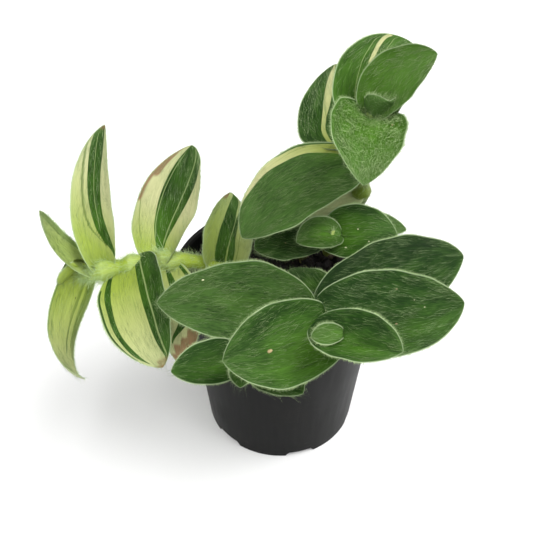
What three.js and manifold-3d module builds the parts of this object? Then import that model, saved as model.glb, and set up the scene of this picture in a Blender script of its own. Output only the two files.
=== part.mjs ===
// A velvet tradescantia in a round nursery pot: the pot, the potting mix and five leafy stems.
// Millimetres, +Z up. The origin is the centre of the pot's foot, on the surface it stands on.
// The front of the plant, where the low rosette leans over the rim, faces -Y.

import * as THREE from 'three';
import { mergeVertices } from 'three/addons/utils/BufferGeometryUtils.js';
import Module from 'manifold-3d';

const wasm = await Module();
wasm.setup();

const { degToRad } = THREE.MathUtils;

// Pot
const POT_HEIGHT = 80;
const RIM_RADIUS = 44.5;
const FOOT_RADIUS = 32.5;
const WALL_TOP_RADIUS = 39;
const COLLAR_RADIUS = 43.4;
const COLLAR_BOTTOM = 68;
const COLLAR_STEP = 1.6;
const LIP_HEIGHT = 1.6;
const LIP_OVERHANG = 0.7;
const LIP_BEVEL = 0.4;
const WALL = 1.3;
const FLOOR_BOTTOM = 2.8;
const FLOOR_TOP = 4.2;
const PAD_RADIUS = 9;
const POT_SEGMENTS = 48;

// Drainage: arched notches in the foot ring, and round holes through the floor inside it
const NOTCHES = 6;
const NOTCH_WIDTH = 13;
const NOTCH_HEIGHT = 2.4;
const NOTCH_DEPTH = 12;
const NOTCH_TURN = 15;
const DRAIN_HOLES = 6;
const DRAIN_RADIUS = 3.5;
const DRAIN_CIRCLE = 20;

// Potting mix
const SOIL_TOP = 72;
const SOIL_RELIEF = 0.9;
const SOIL_HUMPS = [0.31, 0.27];
const SOIL_SWELL = 0.4;
const SOIL_RINGS = [0.8, 0.6, 0.4, 0.2];
const CLEARANCE = 0.3;

// Stems: each stands upright in its hole before it bends, has a sheath below every leaf and
// narrows to its growing tip
const UPRIGHT_HEIGHTS = [58, 66, 73];
const STEM_SIDES = 8;
const RING_SPACING = 3.6;
const SHEATH_LENGTH = 9;
const SHEATH_SWELL = 0.45;
const TAPER_LENGTH = 9;
const TIP_RADIUS = 0.4;

// Leaf blades: stations run from the root to the tip, columns from margin to margin. Each half
// of a section is an arc, cupped to CLASP degrees at the root, where it holds the stem. The
// outline is set by its rounded shoulder, how full it stays and how sharply it ends.
const STATIONS = 9;
const COLUMNS = 4;
const MIDRIB_STEPS = 16;
const BLADE_THICKNESS = 1.1;
const MARGIN_THICKNESS = 0.7;
const PEAK = 0.42;
const BASE = 0.2;
const CLASP = 80;
const CLASP_FADE = 4;
const SHOULDER = 0.7;
const FULLNESS = 2.2;
const SHARPNESS = 0.75;

// A leaf: where its midrib leaves the stem, the compass heading and the rise of its first
// stretch in degrees, its length and width, how far it arches down and sways round by the
// tip, how far it rolls about its midrib, and how far each half cups up. peak is where along
// the length it is widest, base its width at the root as a part of the full width.
const TRAILING_LEAVES = [
  { at: [-23, 0.5, 78], heading: 71, rise: 90, length: 36, width: 22,
    arch: 40, sway: 10, roll: -20, cup: 45 },
  { at: [-45, -3.5, 87.5], heading: -73, rise: -7, length: 44, width: 18,
    arch: 25, sway: -15, roll: 0, cup: 15 },
  { at: [-48, -4, 87], heading: 86, rise: 33, length: 56, width: 31,
    arch: 15, sway: -15, roll: 20, cup: 25 },
  { at: [-60, -5, 86], heading: -88, rise: 10, length: 48, width: 30,
    arch: 50, sway: 35, roll: -30, cup: 30 },
  { at: [-71, -5, 85], heading: 117, rise: 76, length: 59, width: 18,
    arch: 35, sway: -55, roll: 10, cup: 30 },
  { at: [-77, -5, 84], heading: -154, rise: -46, length: 53, width: 17,
    arch: -50, sway: 125, roll: 60, cup: 10 },
  { at: [-78, -5, 85], heading: 184, rise: 40, length: 34, width: 13,
    arch: -50, sway: 10, roll: 15, cup: 35 },
];
const TALL_LEAVES = [
  { at: [28.5, 9.5, 113.5], heading: 207, rise: 3, length: 24, width: 17,
    arch: 5, sway: 0, roll: 10, cup: 35 },
  { at: [29, 8, 127], heading: 200, rise: 4, length: 54, width: 32,
    arch: 50, sway: 10, roll: 10, cup: 20 },
  { at: [29.5, 8, 134], heading: 119, rise: -9, length: 52, width: 33,
    arch: -35, sway: -40, roll: 25, cup: 5 },
  { at: [31, 9, 143], heading: 53, rise: 91, length: 37, width: 34,
    arch: 85, sway: -5, roll: -15, cup: 25 },
  { at: [31.5, 9, 147], heading: -106, rise: 33, length: 44, width: 29,
    arch: 65, sway: 15, roll: 10, cup: 40 },
  { at: [32, 9, 150], heading: 2, rise: 75, length: 31, width: 22,
    arch: 50, sway: -5, roll: -50, cup: 60 },
  { at: [32, 8.3, 150], heading: 0, rise: 62, length: 12, width: 13,
    arch: 0, sway: 0, roll: -75, cup: 75, base: 0.5 },
];
const MIDDLE_LEAVES = [
  { at: [15, 0, 95], heading: 13, rise: 26, length: 36, width: 17,
    arch: 45, sway: -5, roll: -10, cup: 30 },
  { at: [14, 0, 97], heading: 205, rise: 27, length: 27, width: 26,
    arch: 45, sway: -15, roll: 15, cup: 40 },
  { at: [16.5, -4, 102], heading: -12, rise: 22, length: 28, width: 25,
    arch: 35, sway: 10, roll: -20, cup: 20 },
  { at: [20, -7, 106], heading: 198, rise: 23, length: 16, width: 15,
    arch: 35, sway: 5, roll: 20, cup: 40 },
];
const FRONT_LEAVES = [
  { at: [10.8, -33, 100.5], heading: 116, rise: -18, length: 25, width: 20,
    arch: 0, sway: 0, roll: 0, cup: 15 },
  { at: [10.5, -32, 100], heading: 19, rise: -11, length: 64, width: 37,
    arch: -15, sway: 5, roll: -70, cup: 20 },
  { at: [11.5, -37, 103], heading: 171, rise: -13, length: 58, width: 31,
    arch: -15, sway: 15, roll: 65, cup: 20 },
  { at: [12, -42, 104.5], heading: -2, rise: -21, length: 54, width: 33,
    arch: -30, sway: 15, roll: -55, cup: 25 },
  { at: [15.2, -57.5, 107.3], heading: 201, rise: -10, length: 38, width: 29,
    arch: -10, sway: -5, roll: 40, cup: 25, base: 0.65 },
  { at: [11.3, -60.5, 110], heading: -32, rise: 16, length: 29, width: 20,
    arch: 15, sway: 5, roll: -5, cup: 0, base: 0.7 },
  { at: [18, -66, 113], heading: 179, rise: -1, length: 10, width: 8,
    arch: 20, sway: -5, roll: 30, cup: 45, base: 0.5 },
];
const LOW_LEAVES = [
  { at: [-13, -52, 87], heading: 204, rise: 9, length: 28, width: 18,
    arch: 10, sway: -10, roll: 20, cup: 25 },
  { at: [-12.5, -53.5, 87.5], heading: -49, rise: 15, length: 26, width: 19,
    arch: 20, sway: 10, roll: -5, cup: 20 },
  { at: [-13, -54, 87.5], heading: -103, rise: 20, length: 13, width: 11,
    arch: 45, sway: 5, roll: -10, cup: 25 },
];

// A stem: its radius, where its upright foot stands, and the points that it passes from there
// to its growing tip
const STEMS = [
  {
    name: 'left_trailing_stem',
    radius: 2.6,
    color: 0x9aae52,
    foot: [-14, 4],
    path: [[-15, 3.7, 77], [-22.5, 1.5, 80], [-34, -1, 86.5], [-50, -3.5, 88], [-66, -5, 86.5],
      [-80, -6, 84]],
    leaves: TRAILING_LEAVES,
  },
  {
    name: 'tall_stem',
    radius: 2.1,
    color: 0x4a7a35,
    foot: [20, 21],
    path: [[21, 20.8, 81], [25, 19, 92], [28, 14, 105], [29.2, 8.6, 118], [29.5, 8, 130], [32, 9, 151.5]],
    leaves: TALL_LEAVES,
  },
  {
    name: 'middle_stem',
    radius: 2,
    color: 0x47752f,
    foot: [9, 18],
    path: [[9.6, 16, 80], [12, 7.5, 88.5], [15, -1, 98], [17, -5.5, 104], [20.5, -7.5, 107]],
    leaves: MIDDLE_LEAVES,
  },
  {
    name: 'front_stem',
    radius: 2.1,
    color: 0x44702f,
    foot: [2, -2],
    path: [[2.7, -4.5, 79], [5.2, -12, 87], [9, -24, 97], [12, -40, 104], [13.5, -49, 106],
      [15.2, -57.5, 107.3], [17.6, -65.3, 112.3]],
    leaves: FRONT_LEAVES,
  },
  {
    name: 'low_front_shoot',
    radius: 1.8,
    color: 0x3f6e2b,
    foot: [-4, -20],
    path: [[-4.7, -22.5, 77.5], [-7.3, -31.5, 81], [-10.5, -42.5, 83.8], [-13, -54.5, 87.6]],
    leaves: LOW_LEAVES,
  },
];

// Solids and meshes

function toSolid(geometry) {
  const bare = geometry.clone();
  bare.deleteAttribute('normal');
  bare.deleteAttribute('uv');
  const merged = mergeVertices(bare, 1e-4);
  const corners = Array.from(merged.index.array);
  const kept = [];
  for (let i = 0; i < corners.length; i += 3) {
    const [a, b, c] = corners.slice(i, i + 3);
    if (a !== b && b !== c && c !== a) kept.push(a, b, c);
  }
  const mesh = new wasm.Mesh({
    numProp: 3,
    vertProperties: new Float32Array(merged.attributes.position.array),
    triVerts: new Uint32Array(kept),
  });
  return new wasm.Manifold(mesh);
}

function toGeometry(solid) {
  const { vertProperties, triVerts } = solid.getMesh();
  const geometry = new THREE.BufferGeometry();
  geometry.setAttribute('position', new THREE.BufferAttribute(vertProperties, 3));
  geometry.setIndex(new THREE.BufferAttribute(triVerts, 1));
  geometry.computeVertexNormals();
  return geometry;
}

function lathe(profile, segments = POT_SEGMENTS) {
  const points = profile.map(([radius, height]) => new THREE.Vector2(radius, height));
  const geometry = new THREE.LatheGeometry(points, segments);
  geometry.rotateX(Math.PI / 2);
  return geometry;
}

function uprightCylinder(radius, bottom, top, segments = 16) {
  const geometry = new THREE.CylinderGeometry(radius, radius, top - bottom, segments);
  geometry.rotateX(Math.PI / 2);
  geometry.translate(0, 0, (bottom + top) / 2);
  return geometry;
}

function indexedGeometry(points, corners) {
  const geometry = new THREE.BufferGeometry();
  geometry.setAttribute('position', new THREE.Float32BufferAttribute(points.flatMap((p) => p.toArray()), 3));
  geometry.setIndex(corners);
  return geometry;
}

// Pot

function potProfile() {
  const collarInside = COLLAR_RADIUS - WALL;
  const stepTop = COLLAR_BOTTOM + COLLAR_STEP;
  return [
    [0, 0],
    [PAD_RADIUS, 0],
    [PAD_RADIUS + 1, FLOOR_BOTTOM],
    [FOOT_RADIUS - 2 * WALL, FLOOR_BOTTOM],
    [FOOT_RADIUS - 2 * WALL, 0],
    [FOOT_RADIUS, 0],
    [WALL_TOP_RADIUS, COLLAR_BOTTOM],
    [COLLAR_RADIUS, stepTop],
    [RIM_RADIUS - LIP_OVERHANG, POT_HEIGHT - LIP_HEIGHT],
    [RIM_RADIUS, POT_HEIGHT - LIP_HEIGHT + LIP_BEVEL],
    [RIM_RADIUS, POT_HEIGHT - LIP_BEVEL],
    [RIM_RADIUS - LIP_BEVEL, POT_HEIGHT],
    [RIM_RADIUS - LIP_BEVEL - WALL, POT_HEIGHT],
    [collarInside, stepTop + WALL],
    [WALL_TOP_RADIUS - WALL, COLLAR_BOTTOM + WALL],
    [FOOT_RADIUS - WALL, FLOOR_TOP],
    [0, FLOOR_TOP],
  ];
}

function notchCutter(angle) {
  const arch = new THREE.Shape();
  arch.moveTo(-NOTCH_WIDTH / 2, -1);
  arch.quadraticCurveTo(-NOTCH_WIDTH / 2, NOTCH_HEIGHT, -NOTCH_WIDTH / 4, NOTCH_HEIGHT);
  arch.lineTo(NOTCH_WIDTH / 4, NOTCH_HEIGHT);
  arch.quadraticCurveTo(NOTCH_WIDTH / 2, NOTCH_HEIGHT, NOTCH_WIDTH / 2, -1);
  arch.closePath();
  const settings = { depth: NOTCH_DEPTH, bevelEnabled: false, curveSegments: 3 };
  const geometry = new THREE.ExtrudeGeometry(arch, settings);
  geometry.rotateX(Math.PI / 2);
  geometry.translate(0, -(FOOT_RADIUS - (2 * NOTCH_DEPTH) / 3), 0);
  geometry.rotateZ(angle);
  return toSolid(geometry);
}

function drainCutter(angle) {
  const geometry = uprightCylinder(DRAIN_RADIUS, 0, FLOOR_TOP + 1);
  geometry.translate(DRAIN_CIRCLE * Math.cos(angle), DRAIN_CIRCLE * Math.sin(angle), 0);
  return toSolid(geometry);
}

function potGeometry() {
  let pot = toSolid(lathe(potProfile()));
  for (let i = 0; i < NOTCHES; i += 1) {
    pot = pot.subtract(notchCutter(degToRad(NOTCH_TURN) + (i * 2 * Math.PI) / NOTCHES));
  }
  for (let i = 0; i < DRAIN_HOLES; i += 1) {
    pot = pot.subtract(drainCutter((i * 2 * Math.PI) / DRAIN_HOLES));
  }
  return toGeometry(pot);
}

// Potting mix: it fills the pot, with a gently uneven top and a plain hole for each stem

function soilRelief(x, y) {
  const humps = Math.sin(x * SOIL_HUMPS[0] + 1) * Math.cos(y * SOIL_HUMPS[1]);
  return SOIL_RELIEF * humps + SOIL_SWELL * Math.sin(x * 0.13 - y * 0.21);
}

function soilGeometry() {
  const top = COLLAR_RADIUS - WALL - CLEARANCE;
  const geometry = lathe([
    [0, FLOOR_TOP + CLEARANCE],
    [FOOT_RADIUS - WALL - CLEARANCE, FLOOR_TOP + CLEARANCE],
    [WALL_TOP_RADIUS - WALL - CLEARANCE, COLLAR_BOTTOM + WALL + CLEARANCE],
    [top, COLLAR_BOTTOM + COLLAR_STEP + WALL + CLEARANCE],
    [top, SOIL_TOP],
    ...SOIL_RINGS.map((part) => [top * part, SOIL_TOP]),
    [0, SOIL_TOP],
  ]);
  const position = geometry.attributes.position;
  for (let i = 0; i < position.count; i += 1) {
    const [x, y, z] = [position.getX(i), position.getY(i), position.getZ(i)];
    const inner = Math.hypot(x, y) < top * 0.95;
    if (inner && z > SOIL_TOP - 0.1) position.setZ(i, z + soilRelief(x, y));
  }
  let soil = toSolid(geometry);
  for (const stem of STEMS) {
    const hole = uprightCylinder(stem.radius + CLEARANCE, UPRIGHT_HEIGHTS[0] - CLEARANCE, SOIL_TOP + 8);
    hole.translate(...stem.foot, 0);
    soil = soil.subtract(toSolid(hole));
  }
  return toGeometry(soil);
}

// Leaf blade

// Half-width along the leaf, 0 at the tip and 1 where it is widest.
function bladeProfile(t, peak, base) {
  if (t < peak) {
    const short = (peak - t) / peak;
    return base + (1 - base) * (1 - short ** 2) ** SHOULDER;
  }
  return (1 - ((t - peak) / (1 - peak)) ** FULLNESS) ** SHARPNESS;
}

// Direction of the midrib: it arches and sways evenly along its length.
function midribFrame(leaf, t) {
  const pitch = degToRad(leaf.rise - leaf.arch * t);
  const yaw = degToRad(leaf.heading + leaf.sway * t);
  const along = new THREE.Vector3(
    Math.cos(pitch) * Math.cos(yaw), Math.cos(pitch) * Math.sin(yaw), Math.sin(pitch));
  const up = new THREE.Vector3(
    -Math.sin(pitch) * Math.cos(yaw), -Math.sin(pitch) * Math.sin(yaw), Math.cos(pitch));
  const side = new THREE.Vector3().crossVectors(up, along);
  const roll = degToRad(leaf.roll);
  const rolledUp = up.clone().multiplyScalar(Math.cos(roll)).addScaledVector(side, Math.sin(roll));
  const rolledSide = side.clone().multiplyScalar(Math.cos(roll)).addScaledVector(up, -Math.sin(roll));
  return { along, up: rolledUp, side: rolledSide };
}

function midribPoint(leaf, t) {
  const point = new THREE.Vector3(...leaf.at);
  const step = t / MIDRIB_STEPS;
  for (let i = 0; i < MIDRIB_STEPS; i += 1) {
    point.addScaledVector(midribFrame(leaf, (i + 0.5) * step).along, leaf.length * step);
  }
  return point;
}

// A point on the blade: v runs from -1 to 1 across it, and half is the way off the middle
// surface, so that the two faces lie either side of it. Each half of the section is an arc.
function bladePoint(leaf, t, v, half) {
  const { up, side } = midribFrame(leaf, t);
  const reach = 0.5 * leaf.width * bladeProfile(t, leaf.peak ?? PEAK, leaf.base ?? BASE);
  const cup = degToRad(Math.max(1, leaf.cup + (CLASP - leaf.cup) * (1 - t) ** CLASP_FADE));
  const across = (reach * Math.sin(cup * v)) / cup;
  const raised = (reach * (1 - Math.cos(cup * v))) / cup;
  return midribPoint(leaf, t)
    .addScaledVector(side, across - half * Math.sin(cup * v))
    .addScaledVector(up, raised + half * Math.cos(cup * v));
}

function bladeGeometry(leaf) {
  const points = [];
  const corners = [];
  const faces = [1, -1].map((face) => {
    const rows = [];
    for (let i = 0; i < STATIONS; i += 1) {
      const t = 0.5 - 0.5 * Math.cos((Math.PI * i) / STATIONS);
      rows.push([]);
      for (let j = 0; j <= COLUMNS; j += 1) {
        const v = (2 * j) / COLUMNS - 1;
        const thickness = BLADE_THICKNESS + (MARGIN_THICKNESS - BLADE_THICKNESS) * v * v;
        rows[i].push(points.push(bladePoint(leaf, t, v, (face * thickness) / 2)) - 1);
      }
    }
    const tip = points.push(bladePoint(leaf, 1, 0, (face * MARGIN_THICKNESS) / 2)) - 1;
    rows.push(new Array(COLUMNS + 1).fill(tip));
    return rows;
  });
  const triangle = (a, b, c) => {
    if (a !== b && b !== c && c !== a) corners.push(a, b, c);
  };
  const quad = (a, b, c, d) => {
    triangle(a, b, c);
    triangle(a, c, d);
  };
  const [upper, lower] = faces;
  for (let i = 0; i < STATIONS; i += 1) {
    for (let j = 0; j < COLUMNS; j += 1) {
      const cell = (rows) => [rows[i][j], rows[i + 1][j], rows[i + 1][j + 1], rows[i][j + 1]];
      const [a, b, c, d] = cell(upper);
      quad(a, b, c, d);
      const [e, f, g, h] = cell(lower);
      triangle(e, g, f);
      triangle(e, h, g);
    }
    quad(upper[i + 1][0], upper[i][0], lower[i][0], lower[i + 1][0]);
    quad(upper[i][COLUMNS], upper[i + 1][COLUMNS], lower[i + 1][COLUMNS], lower[i][COLUMNS]);
  }
  for (let j = 0; j < COLUMNS; j += 1) {
    quad(upper[0][j], upper[0][j + 1], lower[0][j + 1], lower[0][j]);
  }
  return indexedGeometry(points, corners);
}

// Stem: rings along a smooth curve, swollen into a sheath below each leaf

function sheathSwell(stem, curve, distance, lengths) {
  let swell = 0;
  for (const leaf of stem.leaves) {
    const node = nearestDistance(curve, lengths, new THREE.Vector3(...leaf.at));
    const below = node - distance;
    if (below > -1 && below < SHEATH_LENGTH) {
      swell = Math.max(swell, SHEATH_SWELL * (1 - Math.max(0, below) / SHEATH_LENGTH));
    }
  }
  return swell;
}

function nearestDistance(curve, lengths, target) {
  let best = 0;
  for (let i = 1; i < lengths.length; i += 1) {
    const step = 1 / (lengths.length - 1);
    const closest = curve.getPoint(best * step).distanceTo(target);
    if (curve.getPoint(i * step).distanceTo(target) < closest) best = i;
  }
  return lengths[best];
}

function stemGeometry(stem) {
  const foot = UPRIGHT_HEIGHTS.map((height) => [...stem.foot, height]);
  const path = [...foot, ...stem.path].map((p) => new THREE.Vector3(...p));
  const curve = new THREE.CatmullRomCurve3(path, false, 'catmullrom', 0.5);
  const lengths = curve.getLengths(200);
  const rings = Math.round(lengths.at(-1) / RING_SPACING);
  const points = [];
  const corners = [];
  const reference = new THREE.Vector3(1, 0, 0);
  for (let i = 0; i <= rings; i += 1) {
    const centre = curve.getPointAt(i / rings);
    const along = i === 0 ? new THREE.Vector3(0, 0, 1) : curve.getTangentAt(i / rings);
    reference.addScaledVector(along, -reference.dot(along)).normalize();
    const side = new THREE.Vector3().crossVectors(along, reference);
    const distance = (i / rings) * lengths.at(-1);
    const taper = Math.min(1, TIP_RADIUS + (1 - TIP_RADIUS) * ((lengths.at(-1) - distance) / TAPER_LENGTH));
    const radius = stem.radius * taper * (1 + sheathSwell(stem, curve, distance, lengths));
    for (let k = 0; k < STEM_SIDES; k += 1) {
      const angle = (2 * Math.PI * k) / STEM_SIDES;
      points.push(centre.clone()
        .addScaledVector(reference, radius * Math.cos(angle))
        .addScaledVector(side, radius * Math.sin(angle)));
    }
  }
  for (let i = 0; i < rings; i += 1) {
    for (let k = 0; k < STEM_SIDES; k += 1) {
      const a = i * STEM_SIDES + k;
      const b = i * STEM_SIDES + ((k + 1) % STEM_SIDES);
      corners.push(a, b, b + STEM_SIDES, a, b + STEM_SIDES, a + STEM_SIDES);
    }
  }
  const last = rings * STEM_SIDES;
  for (let k = 1; k < STEM_SIDES - 1; k += 1) {
    corners.push(0, k + 1, k, last, last + k, last + k + 1);
  }
  return indexedGeometry(points, corners);
}

function leafyStemGeometry(stem) {
  const blades = stem.leaves.map((leaf) => toSolid(bladeGeometry(leaf)));
  return toGeometry(wasm.Manifold.union([toSolid(stemGeometry(stem)), ...blades]));
}

// Assembly

const plant = new THREE.Group();

function addPiece(name, geometry, color, roughness) {
  const material = new THREE.MeshStandardMaterial({ color, roughness, metalness: 0 });
  const mesh = new THREE.Mesh(geometry, material);
  mesh.name = name;
  plant.add(mesh);
}

addPiece('pot', potGeometry(), 0x2b2b2d, 0.6);
addPiece('soil', soilGeometry(), 0x1c1612, 0.95);
for (const stem of STEMS) {
  addPiece(stem.name, leafyStemGeometry(stem), stem.color, 0.75);
}

export default plant;
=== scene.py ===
"""A potted velvet tradescantia: a black nursery pot, its mix, and five hairy leafy stems.

Lengths in the tables are millimetres and angles are degrees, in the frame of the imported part:
+Z up, the origin at the centre of the pot's foot, and the front of the plant towards -Y.
Meshes are in metres. Every surface is a function of two parameters, worked out on a grid.
"""

import math
from collections import namedtuple

import bpy
import numpy as np
from bpy.props import FloatProperty, FloatVectorProperty, IntProperty, PointerProperty
from bpy.types import Operator, Panel, PropertyGroup
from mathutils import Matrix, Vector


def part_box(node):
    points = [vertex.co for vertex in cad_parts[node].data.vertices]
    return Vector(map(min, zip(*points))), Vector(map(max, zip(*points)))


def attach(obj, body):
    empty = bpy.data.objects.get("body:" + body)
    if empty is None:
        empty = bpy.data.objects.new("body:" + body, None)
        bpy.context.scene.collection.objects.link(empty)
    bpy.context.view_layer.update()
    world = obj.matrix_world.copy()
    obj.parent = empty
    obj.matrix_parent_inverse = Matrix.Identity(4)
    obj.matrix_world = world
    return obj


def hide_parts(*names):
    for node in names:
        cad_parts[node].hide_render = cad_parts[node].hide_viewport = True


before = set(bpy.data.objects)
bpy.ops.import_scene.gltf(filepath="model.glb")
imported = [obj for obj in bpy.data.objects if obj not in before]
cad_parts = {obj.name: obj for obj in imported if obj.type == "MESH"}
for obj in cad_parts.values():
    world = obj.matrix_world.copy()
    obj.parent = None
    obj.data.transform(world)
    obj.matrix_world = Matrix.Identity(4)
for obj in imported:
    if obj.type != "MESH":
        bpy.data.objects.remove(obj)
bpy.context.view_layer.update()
POT_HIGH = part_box("pot")[1]

bl_info = {
    "name": "Potted Velvet Tradescantia",
    "version": (1, 0, 0),
    "blender": (4, 5, 0),
    "location": "3D View > Sidebar > Tradescantia",
    "description": "Dresses the solids of a potted tradescantia with fine leaves, hairs and soil",
    "category": "Add Mesh",
}

MM = 0.001

# Pot, in millimetres
POT_HEIGHT = POT_HIGH.z / MM
RIM_RADIUS = POT_HIGH.x / MM
FOOT_RADIUS = 32.5
WALL_TOP_RADIUS = 39
COLLAR_RADIUS = 43.4
COLLAR_BOTTOM = 68
COLLAR_STEP = 1.6
LIP_HEIGHT = 1.6
LIP_OVERHANG = 0.7
FLOOR_BOTTOM = 2.8
FLOOR_TOP = 4.2
PAD_RADIUS = 9
NOTCHES = 6
NOTCH_WIDTH = 13
NOTCH_HEIGHT = 2.4
NOTCH_TURN = 15
DRAIN_HOLES = 6
DRAIN_RADIUS = 3.5
DRAIN_CIRCLE = 20
FLOOR_POINTS = 96
SOIL_TOP = 72

# Blades: how fast the section's angle at the root gives way to the cup, the outline's shape, the
# depth in millimetres and the width in v of the groove over the midrib, how uneven the margins
# are, the width in millimetres from which a leaf has the full ripple, the rows and columns of a
# blade's grid, and the distance that stands for no hairline
CLASP_FADE = 4
PEAK = 0.42
SHOULDER = 0.7
FULLNESS = 2.2
SHARPNESS = 0.75
GROOVE_DEPTH = 0.22
GROOVE_WIDTH = 0.07
UNEVEN = 0.012
FULL_RIPPLE_WIDTH = 30
STRIPED_GRID = (84, 48)
PLAIN_GRID = (44, 30)
NO_LINE = 9.0

# A leaf: where its midrib leaves the stem, the heading and rise of its first stretch, its
# length and width, how it arches, sways, rolls and cups, its width at the root as a part of the
# full width, the section's angle there, which clasps the stem, and how much narrower its v < 0
# side is. Then its looks: youth from 0 to 1, shag (how long and loose its hairs are), whether
# its ground is pale, how lime the pale parts are (root, tip, gain across), its stripes, its
# hairlines, its dried patches (t from, t to, v from, v to), its felt (how grey its hairs turn
# it, a grey that is partly a painted velvet sheen), its glow (t, v, reach, amount of a lighter,
# fresher green, in places painted light that lifts a shaded part) and its grit (t, v, size,
# shade).
# t runs from 0 at the root to 1 at the tip, and v from -1 to 1 across.
# A stripe is ("green", "faint" or "pale", ((t, v from, v to), ...)).
# Hairlines are two pale and one dark: each (half width in mm, ((t, v), ...)) or None.
Leaf = namedtuple(
    "Leaf",
    "at heading rise length width arch sway roll cup base clasp slack youth shag pale lime"
    " stripes lines dried felt glow grit",
    defaults=(0.2, 80, 0, 0.15, 0.2, False, (0, 0, 0), (), (None, None, None), (), 0.2,
              (0.2, 0, 0.4, 0.3), ()),
)

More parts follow.
